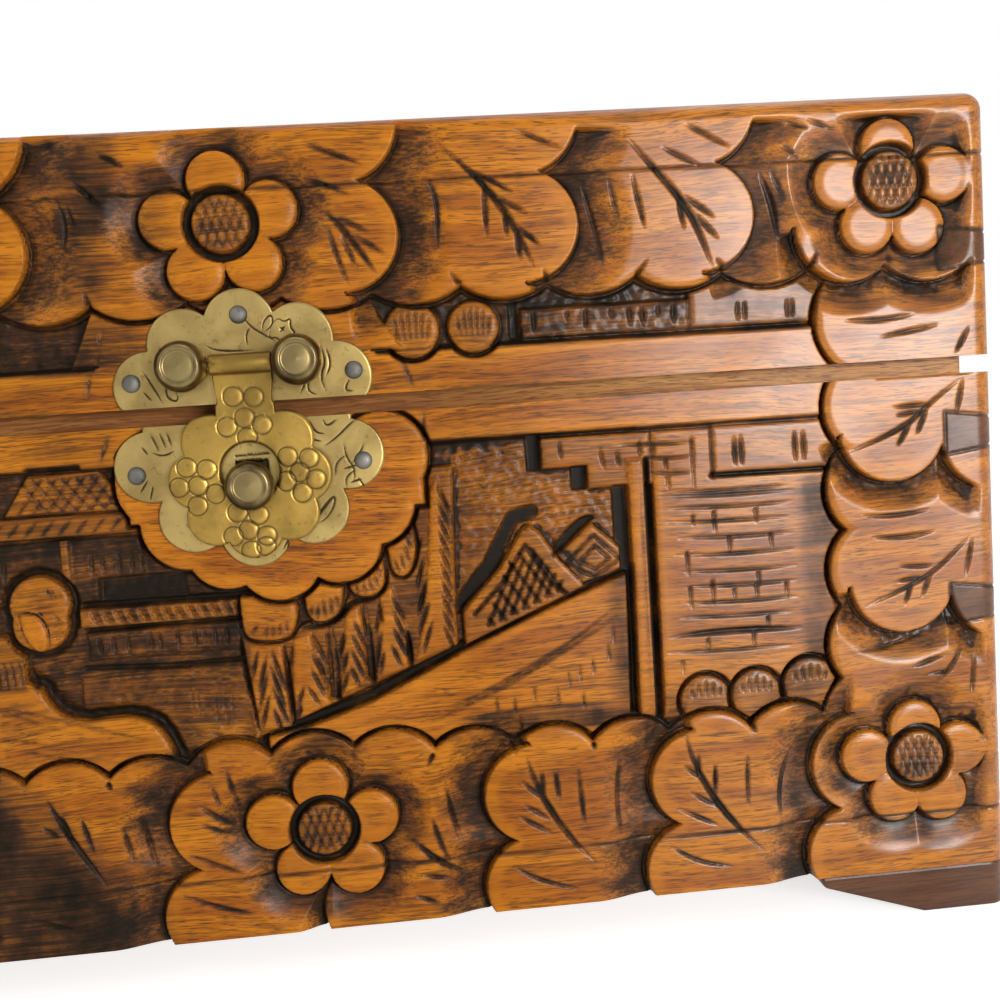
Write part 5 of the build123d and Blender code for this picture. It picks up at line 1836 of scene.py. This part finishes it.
@dataclass
class Lock:
    """The brass lock: two lobed plates, a hasp on two knobs, a catch knob and five nails."""

    x: float = 1.2
    middle: float = 106.5
    ring: float = 19.2
    lobe: float = 6.6
    lobe_angles: tuple[float, ...] = (0, 33, 63, 108, 145, 180)
    plate: float = 0.8
    rod: float = 118.5
    rod_proud: float = 3.4
    spread: float = 10.4
    hasp_middle: float = 97.5
    hasp_ring: float = 9.7
    hasp_lobe: float = 5.3
    eye: float = 98.7
    eye_radius: float = 5.3
    hasp_back: float = 1.8
    hasp_thick: float = 1.2
    catch: float = 96.2
    knob_flat: float = 2.9
    nail_top: float = 16.1
    nail_rise: float = 4.7
    nail_drop: float = 8.8
    nail_spread: tuple[float, float] = (20.3, 20.8)

    def hasp_circles(self) -> list[Circle]:
        """The lobes around the hasp's eye."""
        return around((self.x, self.hasp_middle), self.hasp_ring, self.hasp_lobe)

    def engraving(self) -> Canvas:
        """Sprays of flowers, leaves and a bird scratched into the plates.

        Returns:
            The engraved surface.
        """
        c = Canvas(lines(-28, 31, step=(0.15,)), lines(78, 136, step=(0.15,)), seed=7)
        c.cuts("1.6,127.6 3.2,125.2 5.2,123.8 8,122; 3.2,125.2 2.2,123.6 2.4,121.8; 5.2,123.8 5.6,126 7.2,127.4 "
               "7.4,125.2 5.2,123.8; -5.6,122.4 -3,121 4,120.8; 7,125 8.2,126.6 9.4,125.6 10.6,126.4 10.4,124.6 "
               "11.4,123.4 9.6,123 9,121.6 7.8,123 6.4,122.8 7,125; 8.4,124.8 9.4,124; 8.4,123.8 9.6,125; 15.6,121.4 "
               "16.4,118 15.2,115.4 16.2,112; 16.6,120.8 17.4,117.6 16.2,115; 10.4,116.2 12.6,114.6 11.2,112.2; "
               "13.2,115.4 12.6,112.8 14.6,111.8; 20.6,114.6 19.4,112.4 21.4,112.2; -17,118.6 -14.8,114.4 "
               "-13.6,111.8; -12,117.2 -13.4,113.4 -10.8,112 -11.4,115.2; -15.6,112.6 -17.2,114.6; -16.6,107 "
               "-15.2,103.4; -15,107.2 -13.8,103.6; -13.6,107 -12.8,104; -16.8,103.4 -14.6,102.4 -12.2,103.4; "
               "-18.4,104.6 -17.2,102.8; 14.5,102 17.4,103.8 20,106.2 22.4,107.6; 12.4,107.4 13.4,105 15.4,104.6; "
               "15,107.6 15.6,105.8 18,107.4; 11.4,105.4 12.4,103.8 14.8,103.2; 18.6,103.4 18.8,100 20.4,97.6 "
               "19.8,94.6; 19,100.6 16.8,99 16.6,96.4; 20.4,97.6 18.4,96.2 18.6,94; 20.6,96.4 21.8,94.2 23,93.6; "
               "19.6,98.6 21.6,100.8 22.4,102.6; 19.2,95.2 21.6,95.8; 18,97.8 20.8,98.4; 11.8,88.6 13.6,90.8 "
               "16.4,93.4 15.8,90.4 13.4,88 11.8,88.6; 12.2,88.8 16,92.8; 5.8,83.4 7.2,85.8 6.6,83.2; -17.6,98.4 "
               "-19.4,95.8; -16.8,97.4 -17.6,94.4", Gouge(0.46, 0.12))
        # the catch's slot: a shallow dent stained nearly black as painted shade, with a plain raised bar and a cut
        # above it
        c.level(slab(self.x - 2.7, self.x + 3.2, 93.4, 100.6), -0.75, 0.85, wall=0.3, rounding=0)
        c.level(slab(self.x - 2.4, self.x + 3.4, 100.6, 101.3), 0.0, 0.0, wall=0.2, rounding=0)
        c.cut([(self.x - 2.6, 101.6), (self.x + 3.4, 101.7)], Gouge(0.4, 0.2, 0.9, EVEN))
        c.height += 0.03 * np.sin(0.9 * c.across)[None, :] * np.cos(0.7 * c.up)[:, None]
        c.height -= 0.03
        return c

    def stamping(self) -> Canvas:
        """Raised rings like grape seeds, pressed into the hasp's lobes.

        Returns:
            The stamped surface.
        """
        c = Canvas(lines(-18, 20, step=(0.14,)), lines(78, 122, step=(0.14,)), seed=9)
        u, v = np.meshgrid(c.across, c.up)
        for x, z in table("-0.8,112.6 2.9,112.3 1,108.6 -2.3,107.1 4.1,107.1 1.2,104.9 -10.2,100.2 -6.6,99.6 "
                          "-11.9,96.6 -8.4,96.7 -5.3,95 -8.8,93 8.2,100.9 12.1,100.4 10.2,97.9 7.6,96.4 13.1,96.4 "
                          "10.4,94.1 -1.7,91.3 2.1,90.6 0.1,87.9 -2.8,86.9 3.3,86.6 0.2,84 3,84.6"):
            d = np.hypot(u - x, v - z)
            groove = smooth(1 - np.abs(d - 1.78) / 0.3)
            c.height += 0.10 * smooth((1.75 - d) / 0.9) - 0.14 * groove
            c.stain = np.maximum(c.stain, 0.6 * groove)
        for x, z, radius in self.hasp_circles():
            c.height += 0.22 * smooth(1 - np.hypot(u - x, v - z) / (radius * 1.05))
        c.height -= 0.42
        return c

    def hasp_outline(self) -> Outline:
        """The hasp's outline from the middle of its eye, with the neck up to the rod.

        Returns:
            The outline as a function of the angle.
        """
        round_part = reach_of([(self.x, self.hasp_middle, self.hasp_ring), *self.hasp_circles()], (self.x, self.eye))
        half, top = 5.45, self.rod - self.eye

        def reach(angle: Field) -> Field:
            """The farther of the lobes and the neck at each angle."""
            up, aside = np.clip(np.sin(angle), 1e-3, None), np.maximum(np.abs(np.cos(angle)), 1e-6)
            waist = half - 0.45 * np.exp(-((np.minimum(top, half / aside * up) - 14.6) / 1.6) ** 2)
            neck = np.where(np.sin(angle) > 0.5, np.minimum(top / up, waist / aside), 0.0)
            return np.maximum(round_part(angle), neck)

        return reach

    def build(self, brass: Material, golden: Material, bronze: Material, steel: Material) -> None:
        """Builds every piece of the lock.

        Args:
            brass: Finish of the plates.
            golden: Finish of the hasp.
            bronze: Finish of the knobs.
            steel: Finish of the nails.
        """
        relief = sampled(self.engraving())
        turns = [90 - s * angle for angle in self.lobe_angles for s in (1, -1)]
        circles = [(self.x, self.middle, self.ring), *around((self.x, self.middle), self.ring, self.lobe, turns)]
        for name, level, start, body in (("upper_lock_plate", SIZES.lid_low, 0.0, "lid"),
                                         ("lower_lock_plate", SIZES.base_high, math.pi, "base")):
            centre = (self.x, level)
            plate = RoundPlate(centre, reach_of(circles, centre), relief, spokes=420, rings=105, thick=self.plate,
                               start=start, stop=start + math.pi)
            add_piece(f"engraved_{name}", metal_mesh([plate]), brass, body, "plate_brass", name)
        hasp = RoundPlate((self.x, self.eye), self.hasp_outline(), sampled(self.stamping()), spokes=560, rings=62,
                          thick=self.hasp_thick, inner=self.eye_radius, back=self.hasp_back, edge=0.7, drop=0.35)
        add_piece("stamped_hasp", metal_mesh([hasp]), golden, "hasp", "hasp_brass", "hasp")
        self.barrel(golden)
        for side, sign in (("left", -1), ("right", 1)):
            mesh = turned_mesh(KNOB, [(self.x + sign * self.spread, self.rod)], highlight_flat=self.knob_flat)
            add_piece(f"{side}_knob", mesh, bronze, "lid", "aged_bronze", f"{side}_hasp_post")
        button = turned_mesh(BUTTON, [(self.x, self.catch)], highlight_flat=self.knob_flat)
        add_piece("catch_button", button, bronze, "catch", "aged_bronze", "catch_knob")
        (wide, wider), middle = self.nail_spread, (self.x, SIZES.lid_low + self.nail_top)
        upper = [(self.x + s * wide, SIZES.lid_low + self.nail_rise) for s in (-1, 1)]
        lower = [(self.x + s * wider, SIZES.base_high - self.nail_drop) for s in (-1, 1)]
        for name, places, body in (("upper_plate_nails", [middle, *upper], "lid"),
                                   ("lower_plate_nails", lower, "base")):
            add_piece(f"domed_{name}", turned_mesh(NAIL_HEAD, places, steps=28), steel, body, "nail_steel", name)

    def barrel(self, material: Material) -> None:
        """The rolled top of the hasp, with its lap and the rod's ends.

        Args:
            material: Its finish.
        """
        bm = bmesh.new()
        bm.verts.layers.float.new("stain")
        half, turns = 5.6, [math.radians(-110 + 8.5 * i) for i in range(41)]
        rolled = [(1.95 - 0.002 * i, t) for i, t in enumerate(turns)] + [(1.32, t) for t in reversed(turns)]
        face = bm.faces.new([bm.verts.new((0, r * math.cos(t), r * math.sin(t))) for r, t in rolled])
        grown = bmesh.ops.extrude_face_region(bm, geom=[face])["geom"]
        bmesh.ops.translate(bm, verts=new_points(grown), vec=(2 * half, 0, 0))
        eased(bm, [e for e in bm.edges if e.calc_face_angle(0) > 0.8], 0.18)
        for vert in bm.verts:
            x, y, z = vert.co
            vert.co = ((self.x - half + x) * MM, (SIZES.front - self.rod_proud - y) * MM, (self.rod + z) * MM)
        for made in bm.faces:
            made.smooth = len(made.verts) == 4
        add_piece("hasp_barrel", meshed(bm, None), material, "hasp", "hasp_brass")


# ---------------- plain pieces
def eased(bm: BMesh, edges: Iterable[BMEdge], width: float, clamp: bool = False) -> None:
    """Rounds edges over a width, and keeps the rounding from overlapping where it is clamped."""
    bmesh.ops.bevel(bm, geom=list(edges), offset=width, segments=2, profile=0.5, affect="EDGES", material=-1,
                    clamp_overlap=clamp)


def softened(node: str, width: float) -> Mesh:
    """A copy of a CAD node with its edges eased over a width in millimetres.

    Args:
        node: Name of the node.
        width: Width of the easing.

    Returns:
        The mesh.
    """
    bm = bmesh.new()
    bm.from_mesh(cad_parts[node].data)
    bmesh.ops.remove_doubles(bm, verts=bm.verts, dist=2e-6)
    bmesh.ops.dissolve_limit(bm, angle_limit=0.03, verts=bm.verts, edges=bm.edges)
    eased(bm, [e for e in bm.edges if len(e.link_faces) == 2 and e.calc_face_angle(0) > 0.6], width * MM, clamp=True)
    return meshed(bm, False, outward=False)


def lining_mesh(low: float, high: float, inset: float) -> Mesh:
    """The inner part of four walls, behind the carved boards, as one frame of wood.

    Args:
        low: Its lower level.
        high: Its upper level.
        inset: How far it starts inside the box's outline.

    Returns:
        The mesh.
    """
    bm = bmesh.new()
    bmesh.ops.create_grid(bm, x_segments=1, y_segments=1, size=0.5)
    bmesh.ops.scale(bm, verts=bm.verts, vec=(2 * (SIZES.half_width - inset) * MM,
                                             2 * (SIZES.half_depth - inset) * MM, 1))
    core = list(bm.faces)
    bmesh.ops.inset_region(bm, faces=core, thickness=(SIZES.wall - inset) * MM, use_even_offset=True,
                           use_boundary=True)
    bmesh.ops.delete(bm, geom=core, context="FACES")
    grown = bmesh.ops.extrude_face_region(bm, geom=list(bm.faces))["geom"]
    bmesh.ops.translate(bm, verts=new_points(grown), vec=(0, 0, (high - low) * MM))
    bmesh.ops.translate(bm, verts=bm.verts, vec=(0, SIZES.middle * MM, low * MM))
    return meshed(bm, False)


def panel_mesh(half_x: float, half_y: float, low: float, high: float) -> Mesh:
    """A flat board with eased edges.

    Args:
        half_x: Half of its width.
        half_y: Half of its depth.
        low: Its lower level.
        high: Its upper level.

    Returns:
        The mesh.
    """
    bm = bmesh.new()
    bmesh.ops.create_cube(bm, size=1.0)
    bmesh.ops.scale(bm, verts=bm.verts, vec=(2 * half_x * MM, 2 * half_y * MM, (high - low) * MM))
    bmesh.ops.translate(bm, verts=bm.verts, vec=(0, SIZES.middle * MM, (low + high) / 2 * MM))
    eased(bm, bm.edges, 0.2 * MM)
    return meshed(bm, False, outward=False)


@dataclass
class Hinges:
    """Two butt hinges on the back, with slotted screws."""

    spacing: float = 170.0
    leaf: float = 1.2
    screw_spacing: float = 19.0
    screw_drop: float = 7.4
    screw_radius: float = 2.0
    level: float = 109.7

    def build(self, brass: Material, steel: Material) -> None:
        """Dresses the leaves and pins and builds the slotted screws.

        Args:
            brass: Finish of the leaves and screws.
            steel: Finish of the pins.
        """
        for side in ("left", "right"):
            for part, material in (("base_leaf", brass), ("lid_leaf", brass), ("pin", steel)):
                dress(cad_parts[f"{side}_hinge_{part}"].data, material)
        for half, direction in (("base", -1), ("lid", 1)):
            places = [(s * self.spacing / 2 + t * self.screw_spacing / 2, self.level + direction * self.screw_drop)
                      for s in (-1, 1) for t in (-1, 1)]
            plates = [RoundPlate(place, lambda a: np.full_like(a, self.screw_radius), self.slot(place, 0.5 + 0.9 * i),
                                 spokes=40, rings=14, thick=0.6, back=self.leaf - 0.5, drop=0.2, plane=SIZES.back,
                                 facing=-1)
                      for i, place in enumerate(places)]
            add_piece(f"slotted_{half}_screws", metal_mesh(plates), brass, half, "plain_brass",
                      f"hinge_{half}_screws")

    def slot(self, place: Point, turn: float) -> Relief:
        """The driver slot of one screw.

        Args:
            place: The screw's middle.
            turn: The slot's turn.

        Returns:
            A function that gives height and stain at places.
        """
        def read(x: Field, z: Field) -> tuple[Field, Field]:
            """Height and stain at points."""
            aside = (x - place[0]) * math.sin(turn) - (z - place[1]) * math.cos(turn)
            share = smooth(1.6 - np.abs(aside) / 0.22)
            return -0.35 * share, 0.8 * share

        return read


# ---------------- assembly
@dataclass
class KeepsakeBox:
    """The whole box: boards, lip, feet, lock and hinges."""

    materials: dict[str, Material] = field(default_factory=dict)

    def make_materials(self) -> None:
        """Builds every finish."""
        # the stain group also adds painted shade in hollows, and lighter edges that are partly a painted highlight
        groups = {"grain": wood_grain_group(), "stain": stain_and_painted_shade_group(), "tarnish": tarnish_group()}
        # the lip strip's finish darkens towards the left as painted shade
        pale = {"light": (0.62, 0.31, 0.08, 1), "warm": (0.46, 0.20, 0.045, 1), "streak": (0.16, 0.055, 0.02, 1),
                "coat": 0.04, "gloss": 0.45, "left_shade": 0.9}
        deep = {"light": (0.13, 0.05, 0.018, 1), "warm": (0.085, 0.03, 0.011, 1), "streak": (0.035, 0.014, 0.007, 1)}
        for finish in (
            WoodFinish("varnished_wood"), WoodFinish("varnished_side_wood", turned=True),
            WoodFinish("lip_wood", **pale), WoodFinish("lip_side_wood", turned=True, **pale),
            WoodFinish("foot_wood", coat=0.15, gloss=0.5, **deep),
            WoodFinish("inner_wood", light=(0.36, 0.17, 0.06, 1), warm=(0.27, 0.12, 0.04, 1), coat=0.1, gloss=0.55),
            MetalFinish("plate_brass", (0.35, 0.25, 0.088, 1), (0.21, 0.145, 0.05, 1)),
            MetalFinish("hasp_brass", (0.32, 0.20, 0.045, 1), (0.17, 0.105, 0.025, 1)),
            MetalFinish("aged_bronze", (0.20, 0.148, 0.062, 1), (0.05, 0.034, 0.017, 1), 0.27),
            MetalFinish("nail_steel", (0.17, 0.16, 0.14, 1), (0.09, 0.085, 0.075, 1), 0.5),
            MetalFinish("plain_brass", (0.55, 0.42, 0.18, 1), (0.33, 0.25, 0.11, 1)),
        ):
            self.materials[finish.name] = finish.build(groups)

    def face_canvas(self, side: Side) -> Canvas:
        """An uncarved surface for one upright face.

        Args:
            side: The face.

        Returns:
            The surface, with closer lines where it bends.
        """
        flat, half = SIZES.half_width - SIZES.corner, SIZES.half_depth - SIZES.wall
        turned = flat + SIZES.turn
        end = turned + (SIZES.wall - SIZES.corner)
        fine, stops, steps = {
            Side.FRONT: (0.27, (-end, -turned, -flat, -50, flat, turned, end), (0.9, 0.6, 0.55, 0.27, 0.45, 0.7)),
            Side.BACK: (0.9, (-end, -turned, -flat, flat, turned, end), (1.2, 0.7, 0.8, 0.7, 1.2)),
        }.get(side, (0.8, (-half, half), (0.8,)))
        up = lines(SIZES.bottom_low, SIZES.base_low, SIZES.base_high, SIZES.lid_low, SIZES.lid_high, SIZES.band_top,
                   SIZES.rim_end, step=(fine, fine, 4.0, fine, fine, min(fine, 0.5)))
        return Canvas(lines(*stops, step=steps), up, seed=11 + list(Side).index(side))

    def upright_faces(self) -> None:
        """Carves the four upright faces and builds their boards."""
        for side in Side:
            canvas = self.face_canvas(side)
            if side is Side.FRONT:
                FrontCarving(canvas).carve()
            elif side is Side.BACK:
                PanelCarving(canvas, SIZES.half_width, scene=False).carve()
            else:
                PanelCarving(canvas, SIZES.half_depth).carve()
            word = side.value
            turned = side in (Side.LEFT, Side.RIGHT)
            for name, node, body, *shape in (
                ("bottom_edge", "bottom_board", "base", SIZES.bottom_low, SIZES.base_low, SIZES.wall),
                ("base", f"base_{word}_board", "base", SIZES.base_low, SIZES.base_high),
                ("lid", f"lid_{word}_board", "lid", SIZES.lid_low, SIZES.lid_high, SIZES.skin),
                ("top_edge", "lid_top_board", "lid", SIZES.lid_high, SIZES.rim_end, SIZES.corner, Closing.RIM),
            ):
                CarvedBoard(f"{name}_{word}", node, body, *shape).build(
                    canvas, Wrap(side), self.materials["varnished_side_wood" if turned else "varnished_wood"])

    def top_field(self) -> None:
        """Carves and builds the flat part of the top, inside the rounded edge."""
        half_x, half_y = SIZES.half_width - SIZES.corner, SIZES.half_depth - SIZES.corner
        canvas = Canvas(lines(-half_x, half_x, step=(0.74,)), lines(-half_y, half_y, step=(0.74,)), seed=31)
        TopCarving(canvas, SIZES.half_width, SIZES.half_depth).carve()

        def place(u: Field, v: Field, height: Field, inner: Field) -> Field:
            """Points on the carved top, and inner ones under it."""
            z = np.where(inner, SIZES.lid_high, SIZES.top + height)
            return np.stack([u, v + SIZES.middle, z], axis=-1) * MM

        mesh = carved_mesh(canvas, slice(0, len(canvas.up)), slice(0, len(canvas.across)), Closing.SLAB, place)
        add_piece("carved_top_field", mesh, self.materials["varnished_wood"], "lid", "carved_wood", "lid_top_board")

    def plain_parts(self) -> None:
        """Linings, the floor of the box, the lip and the feet."""
        s, m = SIZES, self.materials
        base = lining_mesh(s.base_low, s.base_high - s.lip_seat, s.lip_inset)
        lid = lining_mesh(s.base_high + s.lip_rise, s.lid_high, s.skin)
        floor = panel_mesh(s.half_width - s.wall, s.half_depth - s.wall, s.bottom_low, s.base_low)
        for name, mesh, body, node in (("base_lining", base, "base", "base_front_board"),
                                       ("lid_lining", lid, "lid", "lid_front_board"),
                                       ("inner_floor", floor, "base", "bottom_board")):
            add_piece(name, mesh, m["inner_wood"], body, "carved_wood", node)
        for word, wood in (("front", "lip_wood"), ("back", "lip_wood"), ("left", "lip_side_wood"),
                           ("right", "lip_side_wood")):
            node = f"{word}_lip_strip"
            add_piece(f"eased_{node}", softened(node, 0.35), m[wood], "base", "lip_wood", node)
        for node in [f"foot_{end}_{side}" for end in ("front", "back") for side in ("left", "right")]:
            add_piece(f"bracket_{node}", softened(node, 0.5), m["foot_wood"], "base", "foot_wood", node)

    def build(self) -> None:
        """Builds the box."""
        self.make_materials()
        self.upright_faces()
        self.top_field()
        self.plain_parts()
        m = self.materials
        Lock().build(m["plate_brass"], m["hasp_brass"], m["aged_bronze"], m["nail_steel"])
        Hinges().build(m["plain_brass"], m["nail_steel"])
        dress(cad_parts["hasp_pin"].data, m["aged_bronze"])
        dress(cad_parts["catch_slider"].data, m["plain_brass"])


# ---------------- floor, light and camera
Place = tuple[float, float, float]


@dataclass(frozen=True)
class Studio:
    """A pale floor, a white surround, soft lamps and the camera."""

    camera: Place = (0.02806, -0.30859, 0.11018)
    yaw: float = 4.825
    pitch: float = 5.121
    roll: float = -3.757
    lens: float = 43.2

    def build(self) -> None:
        """Sets up everything around the box."""
        self.make_floor()
        self.make_world()
        self.lamp("key", (0.41, -0.80, 0.18), (0.05, -0.08, 0.09), 0.26, 5.2)
        self.lamp("fill", (-0.75, -0.85, 0.75), (0.0, 0.0, 0.08), 0.8, 2.2)
        self.lamp("above", (0.1, 0.25, 1.1), (0.0, 0.0, 0.1), 0.9, 4.2)
        self.lamp("behind", (-0.3, 1.0, 0.6), (0.0, 0.08, 0.08), 0.7, 5.0)
        self.make_camera()

    def make_floor(self) -> None:
        """The pale floor."""
        bm = bmesh.new()
        bmesh.ops.create_grid(bm, x_segments=1, y_segments=1, size=3.0)
        floor = linked("floor", meshed(bm, False, outward=False))
        material = bpy.data.materials.new("pale_floor")
        n = emptied(material)
        matt = n.add("BsdfDiffuse", {0: (0.86, 0.86, 0.86, 1)}).outputs[0]
        glow = n.add("Emission", {1: n.times(self.seen(n), 0.71)}).outputs[0]
        n.add("OutputMaterial", {0: n.add("AddShader", {0: matt, 1: glow}).outputs[0]})
        dress(floor.data, material)

    def seen(self, n: Nodes) -> NodeSocket:
        """1 for rays from the camera, and for reflected and passing ones."""
        path = n.add("LightPath").outputs
        rays = n.math("MAXIMUM", path["Is Camera Ray"], path["Is Glossy Ray"])
        return n.math("MAXIMUM", rays, path["Is Transmission Ray"])

    def make_world(self) -> None:
        """White where it is seen, and a dimmer even light on the box."""
        world = bpy.data.worlds.new("surround")
        bpy.context.scene.world = world
        n = emptied(world)
        strength = n.plus(n.times(self.seen(n), 0.66), 0.34)
        n.add("OutputWorld", {0: n.add("Background", {0: (1, 1, 1, 1), 1: strength}).outputs[0]})

    def lamp(self, name: str, place: Place, target: Place, size: float, power: float) -> None:
        """A soft square lamp that points at a target.

        Args:
            name: Lamp name.
            place: Where it hangs.
            target: Where it points.
            size: Its side.
            power: Its power.
        """
        data = bpy.data.lights.new(name, "AREA")
        data.shape, data.size, data.energy = "SQUARE", size, power
        lamp = linked(name, data)
        lamp.location = place
        lamp.rotation_euler = (Vector(target) - Vector(place)).to_track_quat("-Z", "Y").to_euler()

    def make_camera(self) -> None:
        """The camera, close in front of the box and turned a little to the right and down."""
        yaw, pitch, roll = (math.radians(a) for a in (self.yaw, self.pitch, self.roll))
        ahead = Vector((math.sin(yaw) * math.cos(pitch), math.cos(yaw) * math.cos(pitch), -math.sin(pitch)))
        right = Vector((math.cos(yaw), -math.sin(yaw), 0.0))
        up = right.cross(ahead)
        right, up = math.cos(roll) * right + math.sin(roll) * up, math.cos(roll) * up - math.sin(roll) * right
        turn = Matrix((right, up, -ahead)).transposed()
        data = bpy.data.cameras.new("camera")
        data.lens, data.sensor_width = self.lens, 36.0
        data.clip_start, data.clip_end = 0.01, 20.0
        camera = linked("camera", data)
        camera.matrix_world = Matrix.Translation(self.camera) @ turn.to_4x4()
        bpy.context.scene.camera = camera
        bpy.context.scene.view_settings.view_transform = "Standard"


def main() -> None:
    """Builds the box and its surroundings."""
    logging.basicConfig(level=logging.INFO, format="%(message)s")
    KeepsakeBox().build()
    Studio().build()
    bpy.context.view_layer.update()


if __name__ == "__main__":
    main()
